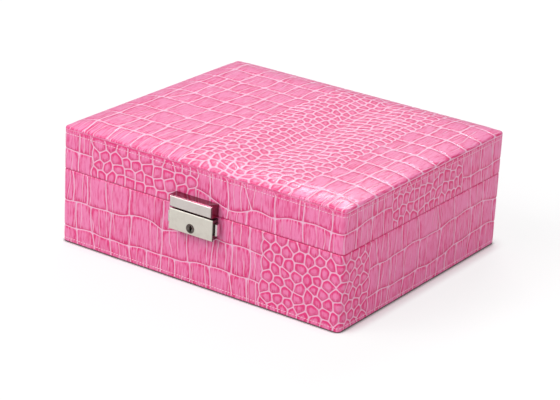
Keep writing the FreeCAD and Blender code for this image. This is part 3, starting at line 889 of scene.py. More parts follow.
@dataclass
class Hide:
    """Flat net of embossed scales, laid out zone by zone.

    Lengths are in millimetres. A wave is the run along and across of a wobble of the joints, and its share.
    """

    zones: tuple[Zone, ...]
    seed: int
    strength: float = 1.0
    # Share of the painted shading carried by the way joints face: shade above row joints and atop small
    # scales, light at their bottom.
    painted_shading: float = 1.0
    breadth: float = 1.0
    snap: float = 1.3
    jitter: float = 0.24
    margin: float = 0.3
    least: float = 0.3
    sliver: float = 0.02
    neighbours: int = 25
    chevron_fade: float = 14.0
    wobble: float = 0.55
    end_fade: float = 12.0
    side_fade: float = 5.0
    sideways: tuple[Triple, ...] = ((17.0, 5.3, 1.0), (-6.1, 11.7, 0.8))
    upwards: tuple[Triple, ...] = ((7.9, 23.0, 1.0), (3.7, 9.0, 0.7))
    ripple: float = 1.5
    ripple_run: float = 7.0
    ripple_reach: float = 4.5
    small: float = 3.2
    plain_rim: float = 3.0
    reliefs: dict[Grain, Relief] = field(default_factory=lambda: {
        Grain.BELLY: Relief(wall=0.4, dome=0.08, step=2.4, rounds=1, follows=True),
        Grain.FLANK: Relief(wall=0.55, dome=0.12, step=1.6, rounds=2, follows=False),
    })

    def __post_init__(self) -> None:
        """Seed the unevenness."""
        self.rng = np.random.default_rng(self.seed)
        self.meetings: dict[float, tuple[int, Array]] = {}

    def row_ends(self, zone: Zone) -> list[tuple[Array, Array]]:
        """Place the columns of every row, close ones of neighbouring rows brought together.

        Args:
            zone: A zone with columns.

        Returns:
            The feet and the heads of each row's columns.
        """
        ends: list[tuple[Array, Array]] = []
        for row, columns in enumerate(zone.columns):
            half = zone.leans[row] / 2 if zone.leans else 0.0
            feet, heads = [zone.start], [zone.start]
            for column in columns:
                foot, head = column if isinstance(column, tuple) else (column - half, column + half)
                feet.append(foot)
                heads.append(head)
            below = ends[-1][1] if ends else np.array([zone.start])
            for number, foot in enumerate(feet):
                near = below[np.argmin(abs(below - foot))]
                feet[number] = float(near) if abs(near - foot) < self.snap else foot
            ends.append((np.array(feet + [zone.end]), np.array(heads + [zone.end])))
        return ends

    def belly(self, zone: Zone) -> list[Array]:
        """Draw a zone's large scales.

        Args:
            zone: A zone with rows and columns.

        Returns:
            One outline a scale, anticlockwise.
        """
        step = self.reliefs[Grain.BELLY].step
        ends = self.row_ends(zone)
        lines = []
        for level in range(len(zone.rows)):
            heads_below = ends[level - 1][1] if level else []
            feet_above = ends[level][0] if level < len(ends) else []
            marks = np.unique(np.round(np.concatenate([heads_below, feet_above]), 4))
            fine = [Outline.split(np.array([a]), np.array([b]), step)[:, 0] for a, b in zip(marks, marks[1:])]
            lines.append(np.concatenate(fine + [marks[-1:]]))
        same = 1e-3
        outlines = []
        for row, (feet, heads) in enumerate(ends):
            low, high = zone.rows[row].height, zone.rows[row + 1].height
            below, above = lines[row], lines[row + 1]
            joints = [Outline.split(np.array([foot, low]), np.array([head, high]), step)
                      for foot, head in zip(feet, heads)]
            for number in range(len(feet) - 1):
                foot = below[(below > feet[number] - same) & (below < feet[number + 1] - same)]
                head = above[(above > heads[number] + same) & (above < heads[number + 1] + same)][::-1]
                left = np.vstack([joints[number][1:], [[heads[number], high]]])[::-1]
                outlines.append(np.vstack([
                    np.column_stack([foot, np.full(len(foot), low)]), joints[number + 1],
                    np.column_stack([head, np.full(len(head), high)]), left,
                ]))
        return outlines

    def flank(self, zone: Zone) -> list[Array]:
        """Draw a zone's small scales, each nearer to its own middle than to any other's.

        Args:
            zone: A zone with a pitch.

        Returns:
            One outline a scale, anticlockwise.
        """
        wide, tall = zone.pitch
        rows = max(1, round((zone.high - zone.low) / tall))
        count = max(1, round((zone.end - zone.start) / wide))
        wide, tall = (zone.end - zone.start) / count, (zone.high - zone.low) / rows
        seeds = []
        for row in range(rows):
            shift = zone.offset if row % 2 else -zone.offset
            for number in range(count):
                along = zone.start + (number + 0.5 + shift) * wide
                jitter = self.rng.uniform(-self.jitter, self.jitter, 2) * (wide, tall)
                seeds.append((along + jitter[0], zone.low + (row + 0.5) * tall + jitter[1]))
        middles = np.array(seeds)
        upright = middles[:, 1] - (zone.low + zone.high) / 2
        middles[:, 0] += zone.lean * upright * (1 - zone.span(middles[:, 0]) ** 2)
        margin = self.margin * wide
        middles[:, 0] = middles[:, 0].clip(zone.start + margin, zone.end - margin)
        least = self.least * wide * tall
        while True:
            outlines = [self.nearest(zone, middles, middle) for middle in middles]
            areas = np.array([Outline.area(outline) for outline in outlines])
            if areas.min() > least:
                break
            middles = middles[areas > max(least * self.sliver, areas[areas < least].min())]
        corners = np.vstack(outlines)
        same = 1e-6
        for place, side in ((zone.start, -1), (zone.end, 1)):
            on_line = abs(corners[:, 0] - place) < same
            self.meetings[place] = side, np.unique(corners[on_line, 1].round(3))
        step = self.reliefs[Grain.FLANK].step
        return [np.vstack([Outline.split(a, b, step) for a, b in zip(outline, np.roll(outline, -1, 0))])
                for outline in outlines]

    def nearest(self, zone: Zone, middles: Array, middle: Array) -> Array:
        """Find the part of a zone that is nearer to one middle than to the others.

        Args:
            zone: The zone.
            middles: All middles.
            middle: The one.

        Returns:
            The outline, with fewer than three points where nothing is left.
        """
        outline = np.array([(zone.start, zone.low), (zone.end, zone.low), (zone.end, zone.high),
                            (zone.start, zone.high)])
        gaps = middles - middle
        for other in np.argsort(np.linalg.norm(gaps, axis=1))[1:self.neighbours + 1]:
            outline = Outline.clip(outline, middle + gaps[other] / 2, gaps[other])
            if len(outline) < 3:
                break
        return outline

    @staticmethod
    def follow(zone: Zone, points: Array) -> Array:
        """Move points so that straight rows follow their row lines.

        Args:
            zone: A zone of large scales.
            points: Points of its straight rows.

        Returns:
            The moved points.
        """
        along, height = points[:, 0], points[:, 1]
        nominal = np.array([row.height for row in zone.rows])
        levels = np.array([row.level(along) for row in zone.rows])
        row = np.clip(np.searchsorted(nominal, height, side="right") - 1, 0, len(nominal) - 2)
        share = (height - nominal[row]) / (nominal[row + 1] - nominal[row])
        number = np.arange(len(points))
        lifted = levels[row, number] * (1 - share) + levels[row + 1, number] * share
        return np.column_stack([along, lifted])

    def dip(self, zone: Zone, points: Array) -> Array:
        """Let the rows of small scales dip towards the zone's middle.

        Args:
            zone: A zone of small scales.
            points: Points of its straight rows.

        Returns:
            The moved points.
        """
        span = zone.span(points[:, 0])
        inner = np.minimum(points[:, 1] - zone.low, zone.high - points[:, 1])
        edge = np.clip(inner / self.chevron_fade, 0, 1)
        drop = zone.chevron * (abs(span) - 0.5) * (1 - span ** 2) * edge
        return np.column_stack([points[:, 0], points[:, 1] + drop])

    def scales(self) -> list[Scale]:
        """Lay out every zone.

        Returns:
            All scales, flat.
        """
        ways = {Grain.BELLY: (self.belly, self.follow), Grain.FLANK: (self.flank, self.dip)}
        laid = []
        for zone in self.zones:
            draw, shift = ways[zone.grain]
            for outline in draw(zone):
                laid.append(Scale(shift(zone, outline), zone.grain, float(self.rng.random())))
        return laid

    def weld(self, scales: list[Scale]) -> tuple[Array, list[list[int]]]:
        """Give neighbouring scales the same points along their joints.

        Args:
            scales: The flat scales.

        Returns:
            The points, and each scale's outline by number.
        """
        index: dict[tuple[float, float], int] = {}
        points: list[Array] = []
        rings = []
        for scale in scales:
            ring = []
            for point in scale.points:
                key = (round(float(point[0]), 2), round(float(point[1]), 2))
                if key not in index:
                    index[key] = len(points)
                    points.append(point)
                if not ring or ring[-1] != index[key]:
                    ring.append(index[key])
            rings.append(ring[:-1] if ring[0] == ring[-1] else ring)
        places = np.array(points)
        near = 0.02
        for zone in self.zones[1:]:
            on_line = [n for n in np.argsort(places[:, 1]) if abs(places[n, 0] - zone.start) < near]
            rank = {int(n): order for order, n in enumerate(on_line)}
            for ring in rings:
                if any(n in rank for n in ring):
                    ring[:] = self.stitch_line(ring, rank, on_line)
        return places, rings

    @staticmethod
    def stitch_line(ring: list[int], rank: dict[int, int], on_line: list[int]) -> list[int]:
        """Add to an outline the points that a neighbouring zone has on the line between them.

        Args:
            ring: The outline by number.
            rank: Order along the line of the points on it.
            on_line: The points on the line, in order.

        Returns:
            The outline with the points added.
        """
        full = []
        for number, here in enumerate(ring):
            after = ring[(number + 1) % len(ring)]
            full.append(here)
            if here in rank and after in rank:
                a, b = rank[here], rank[after]
                full.extend(int(n) for n in (on_line[a + 1:b] if a < b else on_line[b + 1:a][::-1]))
        return full

    def sway(self, places: Array) -> Array:
        """Let the joints wobble, and the borders between zones bulge with the small scales beside them.

        Args:
            places: Points of the welded joints.

        Returns:
            The moved points.
        """
        s, q = places.T
        first, last = self.zones[0].start, self.zones[-1].end
        low, high = self.zones[0].low, self.zones[0].high
        ends = np.clip(np.minimum(s - first, last - s) / self.end_fade, 0, 1)
        sides = np.clip(np.minimum(q - low, high - q) / self.side_fade, 0, 1)
        aside, up = (sum(share * np.sin(q / across + s / along) for along, across, share in waves)
                     for waves in (self.sideways, self.upwards))
        moved = np.column_stack([s + self.wobble * ends * aside, q + self.wobble * sides * ends * up])
        for place, (side, meetings) in self.meetings.items():
            cell = np.clip(np.searchsorted(meetings, q) - 1, 0, len(meetings) - 2)
            gap = meetings[cell + 1] - meetings[cell]
            share = np.clip((q - meetings[cell]) / gap, 0, 1)
            bulge = np.sin(math.pi * share) * np.minimum(gap / self.ripple_run, 1) - 0.5
            moved[:, 0] += side * self.ripple * bulge * np.exp(-(((s - place) / self.ripple_reach) ** 2))
        return moved

    def mesh(self, name: str) -> Piece:
        """Build the flat net: along on X, across on Y, relief on Z.

        Args:
            name: Name of the new object.

        Returns:
            The object, with the attributes hide (rim, under, tint) and flat (along, across, flank).
        """
        scales = self.scales()
        flat, rings = self.weld(scales)
        places = self.sway(flat)
        near = 0.01
        border = np.minimum(flat[:, 1] - self.zones[0].low, self.zones[0].high - flat[:, 1]) < near
        rims = np.where(border, self.plain_rim, 0.0)
        total = len(places)
        rows = [np.column_stack([places, np.full(total, -self.reliefs[Grain.BELLY].depth)])]
        hide = [np.column_stack([rims, np.zeros(total), np.full(total, 0.5)])]
        kinds = [np.zeros(total)]
        faces: list[list[int]] = []
        for scale, ring in zip(scales, rings):
            previous = ring
            after = [*range(1, len(ring)), 0]
            for points, height, rim, under in self.layers(places[ring], self.reliefs[scale.grain]):
                many = len(points)
                current = list(range(total, total + many))
                total += many
                rows.append(np.column_stack([points, np.full(many, height)]))
                # The second value carries the painted shading: which way a joint faces, up or down, times its
                # share.
                hide.append(np.column_stack([np.full(many, rim / self.breadth), under * self.painted_shading,
                                             np.full(many, scale.tint)]))
                kinds.append(np.full(many, float(scale.grain is Grain.FLANK)))
                if many == 1:
                    faces.extend([previous[n], previous[m], current[0]] for n, m in enumerate(after))
                else:
                    faces.extend([previous[n], previous[m], current[m], current[n]]
                                 for n, m in enumerate(after))
                previous = current
        points = np.vstack(rows) * (1.0, 1.0, self.strength)
        obj = Desk.new(name, points, faces)
        Desk.write(obj, "hide", np.vstack(hide))
        Desk.write(obj, "flat", np.column_stack([points[:, :2], np.concatenate(kinds)]))
        return obj

    def layers(self, outline: Array, relief: Relief) -> list[Level]:
        """Work a scale up from its joint to its crown.

        Args:
            outline: The joint round the scale.
            relief: Section of the scale.

        Returns:
            For each level its points, height, distance from the joint, and how far they look down the hide.
        """
        middle = Outline.middle(outline)
        narrow, least_reach, least_inner = 15, 0.5, 0.1
        reach = float(np.percentile(np.linalg.norm(outline - middle, axis=1), narrow))
        share = min(1.0, reach / self.small)
        wall, shoulder = relief.wall * share, relief.shoulder * share
        inward = Outline.inward(outline)
        first = Outline.rounded(outline + inward * wall, relief.rounds)
        if relief.follows:
            rounds = relief.rounds + relief.shoulder_rounds
            second = Outline.rounded(first + Outline.inward(first) * shoulder, rounds)
        else:
            second = middle + (first - middle) * (1 - shoulder / max(reach - wall, least_reach))
        under, upright = inward[:, 1], np.zeros(len(outline))
        calm = Outline.rounded(second, relief.crown_rounds) - middle
        edge = wall + shoulder
        inner = max(reach - edge, least_inner)
        levels = [(first, relief.wall_top * relief.depth, wall, under),
                  (second, relief.shoulder_top * relief.depth, edge, under)]
        for kept, raised, inside in relief.crown:
            levels.append((middle + calm * kept, raised * relief.dome, edge + inside * inner, upright))
        levels.append((middle[None, :], relief.dome, edge + inner, upright[:1]))
        return levels


@dataclass(frozen=True)
class BoxWrap:
    """Wrapping of a flat hide round an upright box with round corners and turned-in edges, in millimetres."""

    low: float
    high: float
    turn_low: float
    turn_high: float
    half_x: float = 115.0
    half_y: float = 100.0
    corner: float = 3.0
    bend: float = 0.8
    fold_reach: float = 4.0
    fold_relief: float = 0.25
    corner_cuts: int = 5
    bend_cuts: int = 4
    front_stations: int = 6
    side_stations: int = 11

    @property
    def marks(self) -> tuple[float, float, float, float]:
        """Where the front, the first corner, the side and the second corner end, from the front's middle.

        Returns:
            The four distances.
        """
        arc = self.corner * QUARTER
        front = self.half_x - self.corner
        side = 2 * (self.half_y - self.corner)
        return front, front + arc, front + arc + side, front + 2 * arc + side

    @property
    def half_girth(self) -> float:
        """Half the way round the box."""
        return self.marks[3] + self.half_x - self.corner

    @property
    def flat_low(self) -> float:
        """Lower edge of the flat hide."""
        return self.low + self.bend - self.bend * QUARTER - (self.turn_low - self.bend)

    @property
    def flat_high(self) -> float:
        """Upper edge of the flat hide."""
        return self.high - self.bend + self.bend * QUARTER + (self.turn_high - self.bend)

    def plan(self, along: Array, inset: Array) -> tuple[Array, Array]:
        """Place and outward direction seen from above.

        Args:
            along: Way round the box from the front's middle, negative to the left.
            inset: Distance in from the box's face.

        Returns:
            The points and the directions.
        """
        way = np.abs(along)
        front, first, side, second = self.marks
        x, y = self.half_x - self.corner, self.half_y - self.corner
        turn = sum(np.clip((way - start) / self.corner, 0, QUARTER) for start in (front, side))
        normal = np.column_stack([np.sin(turn), -np.cos(turn)])
        core_x = np.where(way < front, way, np.where(way > second, x - (way - second), x))
        core_y = np.where(way < first, -y, np.where(way < side, way - first - y, y))
        over = np.maximum(inset - self.corner, 0)[:, None]
        point = np.column_stack([core_x, core_y]) + normal * np.maximum(self.corner - inset, 0)[:, None]
        point = point - normal * over
        bound = (x, y) - over
        point = np.where(over > 0, np.clip(point, -bound, bound), point)
        mirror = np.column_stack([np.where(along < 0, -1, 1), np.ones(len(along))])
        return point * mirror, normal * mirror

    def section(self, across: Array) -> tuple[Array, Array, Array]:
        """Follow the hide from its lower to its upper edge.

        Args:
            across: Places across the flat hide.

        Returns:
            The inset, the height and the tilt at each place.
        """
        top = (across - (self.high - self.bend)) / self.bend
        foot = ((self.low + self.bend) - across) / self.bend
        turn = np.clip(np.maximum(top, foot), 0, QUARTER)
        past = np.maximum(np.maximum(top, foot) - QUARTER, 0) * self.bend
        sign = np.where(top > 0, 1.0, -1.0)
        inset = self.bend * (1 - np.cos(turn)) + past
        core = np.clip(across, self.low + self.bend, self.high - self.bend)
        return inset, core + sign * self.bend * np.sin(turn), sign * turn

    def cuts(self) -> tuple[list[float], list[float]]:
        """Find where the flat hide is cut so that it can bend.

        Returns:
            The places along it, and those across it.
        """
        front, first, side, second = self.marks
        shares = np.linspace(0, 1, self.corner_cuts)
        corners = np.concatenate([front + (first - front) * shares, side + (second - side) * shares])
        bends = np.linspace(0, QUARTER, self.bend_cuts) * self.bend
        across = np.concatenate([self.high - self.bend + bends, self.low + self.bend - bends])
        return [*corners, *-corners], list(across)

    def station(self, along: Array) -> Array:
        """Gather places along the hide at the few that the plain inner face needs.

        Args:
            along: Places along the hide.

        Returns:
            The nearest of the few to each.
        """
        front, first, side, second = self.marks
        half = [
            *np.linspace(0, front, self.front_stations), (front + first) / 2,
            *np.linspace(first, side, self.side_stations), (side + second) / 2,
            *np.linspace(second, self.half_girth, self.front_stations),
        ]
        few = np.array([*(-way for way in half[:0:-1]), *half])
        return few[abs(along[:, None] - few).argmin(axis=1)]

    def fade(self, points: Array) -> Array:
        """Share of the relief that the press leaves near the folds."""
        margin = np.minimum(points[:, 1] - self.low, self.high - points[:, 1])
        return np.clip(margin / self.fold_reach, self.fold_relief, 1)

    def wrapped(self, points: Array) -> Array:
        """Bend flat points round the box.

        Args:
            points: Places along and across the hide, and relief.

        Returns:
            The places on the box.
        """
        inset, height, tilt = self.section(points[:, 1])
        plan, normal = self.plan(points[:, 0], inset)
        relief = points[:, 2]
        plan = plan + normal * (relief * np.cos(tilt))[:, None]
        return np.column_stack([plan, height + relief * np.sin(tilt)])


@dataclass(frozen=True)
class PadWrap:
    """Draping of a flat hide over the crowned lid, with sloping margins and a round edge, in millimetres."""

    edge_z: float = 84.3
    crown: float = 3.2
    run: float = 22.0
    edge_r: float = 1.6
    foot: float = 82.35
    half_x: float = 115.0
    half_y: float = 100.0
    corner: float = 3.0
    blend: float = 4.0
    edge_reach: float = 5.0
    edge_relief: float = 0.3
    edge_cuts: int = 5
    corner_cuts: int = 7
    probe: float = 0.05
    rounds: int = 8

    @property
    def radius(self) -> float:
        """Radius of the sloping margin."""
        return (self.run ** 2 + self.crown ** 2) / (2 * self.crown)

    @property
    def slope(self) -> float:
        """Tilt of the margin where the round edge takes over.

        Returns:
            The angle, closed in on step by step.
        """
        tilt = 0.0
        for _ in range(self.rounds):
            tilt = math.asin((self.run - self.edge_r * (1 - math.sin(tilt))) / self.radius)
        return tilt

    @property
    def lip(self) -> float:
        """Inset where the round edge starts."""
        return self.edge_r * (1 - math.sin(self.slope))

    @property
    def arc(self) -> float:
        """Way round the round edge."""
        return self.edge_r * (QUARTER - self.slope)

    @property
    def spare(self) -> float:
        """Width of flat hide past the lip: round the edge, then down to the seam."""
        start = self.height(np.array([self.half_x - self.lip]), np.zeros(1))[0]
        return self.arc + start - self.edge_r * math.cos(self.slope) - self.foot

    def height(self, x: Array, y: Array) -> Array:
        """Height of the crowned top.

        Args:
            x: Places from left to right.
            y: Places from front to back.

        Returns:
            The heights.
        """
        out_x = np.clip((self.run - self.half_x + np.abs(x)) / self.run, 0, 1)
        out_y = np.clip((self.run - self.half_y + np.abs(y)) / self.run, 0, 1)
        out = np.minimum((out_x ** self.blend + out_y ** self.blend) ** (1 / self.blend), 1.0) * self.run
        return self.edge_z + self.crown - self.radius + np.sqrt(self.radius ** 2 - out ** 2)

    def upright(self, x: Array, y: Array) -> Array:
        """Direction out of the crowned top.

        Args:
            x: Places from left to right.
            y: Places from front to back.

        Returns:
            One direction a place.
        """
        step = self.probe
        dx = (self.height(x + step, y) - self.height(x - step, y)) / (2 * step)
        dy = (self.height(x, y + step) - self.height(x, y - step)) / (2 * step)
        up = np.column_stack([-dx, -dy, np.ones(len(x))])
        return up / np.linalg.norm(up, axis=1, keepdims=True)

    def cuts(self) -> tuple[list[float], list[float]]:
        """Find where the flat hide is cut so that it can bend.

        Returns:
            The places along it, and those across it.
        """
        bends = np.linspace(0, self.arc, self.edge_cuts) - self.lip
        along, across = self.half_x + bends, self.half_y + bends
        return [*along, *-along], [*across, *-across]

    def trims(self) -> list[tuple[Array, Array]]:
        """Find the cuts that round the corners of the flat hide.

        Returns:
            A point and an outward direction each.
        """
        reach = self.corner - self.lip + self.spare
        core = np.array([self.half_x - self.corner, self.half_y - self.corner, 0.0])
        cuts = []
        for turn in np.linspace(0, QUARTER, self.corner_cuts + 2)[1:-1]:
            for sign in ((-1, -1, 1), (-1, 1, 1), (1, -1, 1), (1, 1, 1)):
                outward = np.array([math.cos(turn), math.sin(turn), 0.0]) * sign
                cuts.append((core * sign + outward * reach, outward))
        return cuts

    def fade(self, points: Array) -> Array:
        """Share of the relief that the press leaves near the edge."""
        margin = np.minimum(self.half_x - np.abs(points[:, 0]), self.half_y - np.abs(points[:, 1]))
        return np.clip(margin / self.edge_reach, self.edge_relief, 1)

    def wrapped(self, points: Array) -> Array:
        """Drape flat points over the lid.

        Args:
            points: Places along and across the hide, and relief.

        Returns:
            The places on the lid.
        """
        flat, relief = points[:, :2], points[:, 2]
        core = np.array([self.half_x - self.corner, self.half_y - self.corner])
        gap = flat - np.clip(flat, -core, core)
        far = np.linalg.norm(gap, axis=1)
        normal = gap / np.maximum(far, TINY)[:, None]
        level = self.corner - self.lip
        past = far > level
        start = flat - np.where(past[:, None], normal * (far - level)[:, None], 0.0)
        base = self.height(*start.T)
        made = np.column_stack([start, base]) + self.upright(*start.T) * relief[:, None]
        out = np.clip(far - level, 0, self.spare)
        tilt = np.minimum(self.slope + out / self.edge_r, QUARTER)
        run = self.edge_r * (np.sin(tilt) - math.sin(self.slope))
        drop = self.edge_r * (math.cos(self.slope) - np.cos(tilt)) + np.maximum(out - self.arc, 0)
        side = start + normal * (run + relief * np.sin(tilt))[:, None]
        bent = np.column_stack([side, base - drop + relief * np.cos(tilt)])
        return np.where(past[:, None], bent, made)


@dataclass
class Skin:
    """Piece of leather: a flat hide, cut and wrapped, then given its inner face.

    What is turned in is plain: its attribute hide is that of the inside of a scale.
    """

    SAME = 0.004 * MM
    CLOSE = 0.03 * MM
    FLAT = 0.001 * MM
    PLAIN = (2.4, 0.0, 0.5)
    SHARP = math.radians(48)

    name: str
    hide: Hide
    wrap: BoxWrap | PadWrap
    trims: Sequence[tuple[Array, Array]] = ()
    dents: tuple[Callable[[Array], Array], ...] = ()
    extra_cuts: tuple[float, ...] = ()

    def lay(self) -> Piece:
        """Build the outer face in place, with its seam closed and no face that the bending has flattened.

        Returns:
            The object, open at its edges.
        """
        obj = self.hide.mesh(self.name)
        along, across = self.wrap.cuts()
        Desk.whole(obj)
        bpy.ops.mesh.remove_doubles(threshold=Skin.CLOSE)
        for place, outward in self.trims:
            Desk.cut(place * MM, outward, trim=True)
        for place in along:
            Desk.cut((place * MM, 0, 0), (1, 0, 0))
        for place in [*across, *self.extra_cuts]:
            Desk.cut((0, place * MM, 0), (0, 1, 0))
        Desk.done()
        points = Desk.points(obj)
        points[:, 2] *= self.wrap.fade(points)
        for dent in self.dents:
            points[:, 2] -= dent(points)
        Desk.move(obj, self.wrap.wrapped(points))
        Desk.whole(obj)
        bpy.ops.mesh.remove_doubles(threshold=Skin.SAME)
        bpy.ops.mesh.select_all(action="SELECT")
        bpy.ops.mesh.dissolve_degenerate(threshold=Skin.FLAT)
        bpy.ops.mesh.delete_loose(use_verts=True, use_edges=True, use_faces=False)
        Desk.done()
        return obj

    @staticmethod
    def rim(obj: Piece, keep: Callable[[Array], Array] | None = None) -> None:
        """Select the open edges, or those whose vertices pass a test, and leave the mesh open.

        Args:
            obj: The skin.
            keep: Test on vertices' places in millimetres.
        """
        Desk.edit(obj)
        bpy.ops.mesh.select_non_manifold(use_wire=False, use_multi_face=False, use_non_contiguous=False,
                                         use_verts=False)
        Desk.done()
        wanted = Desk.chosen(obj)
        if keep:
            wanted &= keep(Desk.points(obj))
        Desk.choose(obj, wanted)
        Desk.reopen(obj)

    @staticmethod
    def pull(obj: Piece, put: Callable[[Array, Array], Array]) -> None:
        """Extrude the selected open edge and put its new vertices in place, with the mesh open.

        Args:
            obj: The skin.
            put: Gives new places from the old ones and the attribute flat.
        """
        bpy.ops.mesh.extrude_edges_move()
        Desk.done()
        new = Desk.chosen(obj)
        points, flat, hide = Desk.points(obj), Desk.read(obj, "flat"), Desk.read(obj, "hide")
        placed = put(points[new], flat[new])
        flat[new, 1] += np.linalg.norm(placed - points[new], axis=1)
        points[new] = placed
        hide[new] = Skin.PLAIN
        Desk.move(obj, points)
        Desk.write(obj, "flat", flat)
        Desk.write(obj, "hide", hide)
        bpy.ops.object.mode_set(mode="EDIT")
        bpy.ops.mesh.remove_doubles(threshold=Skin.SAME)

    @staticmethod
    def finish(obj: Piece, material: Material) -> None:
        """Turn all faces outwards, smooth them and dress the piece.

        Args:
            obj: The piece.
            material: Its finish.
        """
        Desk.whole(obj)
        bpy.ops.mesh.normals_make_consistent(inside=False)
        Desk.done()
        Desk.only(obj)
        bpy.ops.object.shade_smooth_by_angle(angle=Skin.SHARP)
        Desk.dress(obj, material)


@dataclass
class CaseSizes:
    """Sizes of the case that the skins share, in millimetres."""

    half_width: float = 115.0
    foot: float = 0.2
    base_top: float = 53.45
    lid_bottom: float = 53.75
    band_top: float = 82.25
    pad_gap: float = 0.1
    pad_foot: float = 81.5
    leather: float = 1.0
    rim: float = 7.0
    hem: float = 12.0
    turn: float = 1.6
    turned_edge: float = 0.9
    hinge_x: float = 65.0
    leaf_half: float = 15.2
    leaf_gap: float = 0.1
    leaf_edge: float = 0.4
    base_stitch: float = 2.9
    lid_stitch: float = 79.4
    stitch_dent: float = 0.16
    stitch_reach: float = 0.7
    corner_start: float = 113.712


@dataclass
class SkinMaker:
    """Grain of the case's three skins as the photograph shows it, and made up where it doesn't."""

    sizes: CaseSizes
    seed: int = 11
    spread: float = 0.16

    def __post_init__(self) -> None:
        """Seed the unevenness."""
        self.rng = np.random.default_rng(self.seed)

    @staticmethod
    def moved(places: Sequence[Column], by: float) -> tuple[Column, ...]:
        """Shift columns along the hide."""
        return tuple((p[0] + by, p[1] + by) if isinstance(p, tuple) else p + by for p in places)

    def front(self, *places: Column) -> tuple[Column, ...]:
        """Columns measured from the front's left edge, as places along the hide."""
        return self.moved(places, -self.sizes.half_width)

    def side(self, *places: Column) -> tuple[Column, ...]:
        """Columns measured from the right side's front edge, as places along the hide."""
        return self.moved(places, self.sizes.corner_start)

    @staticmethod
    def joined(first: Sequence[tuple[Column, ...]], second: Sequence[tuple[Column, ...]]) -> tuple:
        """Columns of two stretches as those of one, row by row."""
        return tuple(one + other for one, other in zip(first, second))

    def uneven(self, start: float, end: float, *widths: float) -> list[tuple[float, ...]]:
        """Spread uneven columns over an unseen stretch.

        Args:
            start: Where the stretch starts.
            end: Where it ends.
            widths: Usual width of a scale in each row.

        Returns:
            Each row's columns between start and end.
        """
        rows = []
        for width in widths:
            count = max(1, round((end - start) / width))
            places = np.linspace(start, end, count + 1)[1:-1]
            shifts = self.rng.uniform(-self.spread, self.spread, len(places)) * width
            rows.append(tuple(float(place) for place in places + shifts))
        return rows

    def base_wrap(self) -> BoxWrap:
        """Wrapping of the base, which the stitches follow too."""
        return BoxWrap(self.sizes.foot, self.sizes.base_top, self.sizes.turn, self.sizes.turn)

    def base(self) -> tuple[Hide, BoxWrap]:
        """Grain of the base: three rows of belly, and small scales round the front right corner.

        Returns:
            The flat hide and its wrapping.
        """
        wrap = self.base_wrap()
        ends = wrap.half_girth
        rows = (
            RowLine(wrap.flat_low),
            RowLine(13.0, (Bump(-100, 60, -0.9), Bump(30, 42, 4.4), Bump(165, 40, 1.2), Bump(288, 38, 6.0))),
            RowLine(33.0, (Bump(-105, 30, -1.8), Bump(-43, 12, 2.6), Bump(-29, 6, -2.6), Bump(27, 42, 4.8),
                           Bump(205, 46, 2.4), Bump(278, 32, 5.8))),
            RowLine(wrap.flat_high),
        )
        widths = (15, 18, 19)
        far_end, rear, front_end, side_start = -330.0, -250.0, -109.0, 313.0
        front_flank, flank_end = 53.0, self.side(33)[0]
        left = self.uneven(rear, front_end, *widths)
        front = (
            self.front(13, 27, 42.7, 60, 74, 86.5, 98, 110, 127.6, 144, 157.5),
            self.front(11.8, 25, 41.8, 60.4, 86.8, 107.8, 128.3, 144.5, 158.5),
            self.front(8.7, 21.3, 38.3, 58.5, 86.3, 112, 144.1, 158.5),
        )
        side = (
            self.side(44, 58, 75, 91, 106, 120, 132, 145, 162, 178),
            self.side(45, 58.5, 76, 95, 122, 142, 163, 180, 193),
            self.side(41, 54, 71.5, 92, 118, 139, 160, 177),
        )
        back = self.uneven(side_start, ends, *widths)
        far = self.uneven(-ends, far_end, *widths)
        zones = (
            Zone(Grain.BELLY, -ends, far_end, rows, tuple(far)),
            Zone(Grain.FLANK, far_end, rear, rows),
            Zone(Grain.BELLY, rear, front_flank, rows, self.joined(left, front), (-1.4, -0.3, 0.2)),
            Zone(Grain.FLANK, front_flank, flank_end, rows, pitch=(8.7, 7.4)),
            Zone(Grain.BELLY, flank_end, ends, rows, self.joined(side, back), (1.6, 0.4, -3.6)),
        )
        return Hide(zones, seed=3), wrap

    def band(self) -> tuple[Hide, BoxWrap]:
        """Grain of the lid's band: two rows of belly between patches of small leaning scales.

        Returns:
            The flat hide and its wrapping.
        """
        sizes = self.sizes
        wrap = BoxWrap(sizes.lid_bottom, sizes.band_top, sizes.turn, sizes.turned_edge, bend=0.6)
        ends = wrap.half_girth
        rows = (
            RowLine(wrap.flat_low),
            RowLine(68.0, (Bump(28, 15, -7.8), Bump(58, 12, -2.6), Bump(160, 20, 3.4), Bump(285, 34, -5.0))),
            RowLine(wrap.flat_high),
        )
        widths = (16, 19)
        far_end, rear, front_end, side_start = -300.0, -225.0, -106.0, 312.0
        flank, belly = self.front(25, 113.5)
        side_flank, side_belly = self.side(57, 145)
        left = self.uneven(rear, front_end, *widths)
        front = (self.front(13.4), self.front(14.6))
        corner_front = (
            self.front(125, 139.1, 154.7, 176.5, 199.1, 219.5),
            self.front(124.2, 138.3, (158.5, 151.5), 176.2, 198.3, 219.7),
        )
        corner_side = (self.side(14.5, 32, 46.6), self.side(14.5, 31, (38.5, 37), 46))
        side = (self.side(158, 172, 188), self.side(157, 170, (189, 183)))
        back = self.uneven(side_start, ends, *widths)
        far = self.uneven(-ends, far_end, *widths)
        zones = (
            Zone(Grain.BELLY, -ends, far_end, rows, tuple(far)),
            Zone(Grain.FLANK, far_end, rear, rows, lean=0.3),
            Zone(Grain.BELLY, rear, flank, rows, self.joined(left, front)),
            Zone(Grain.FLANK, flank, belly, rows, pitch=(8.6, 8.2), lean=0.45),
            Zone(Grain.BELLY, belly, side_flank, rows, self.joined(corner_front, corner_side)),
            Zone(Grain.FLANK, side_flank, side_belly, rows, pitch=(7.6, 8.4), lean=-0.4),
            Zone(Grain.BELLY, side_belly, ends, rows, self.joined(side, back)),
        )
        return Hide(zones, seed=5), wrap

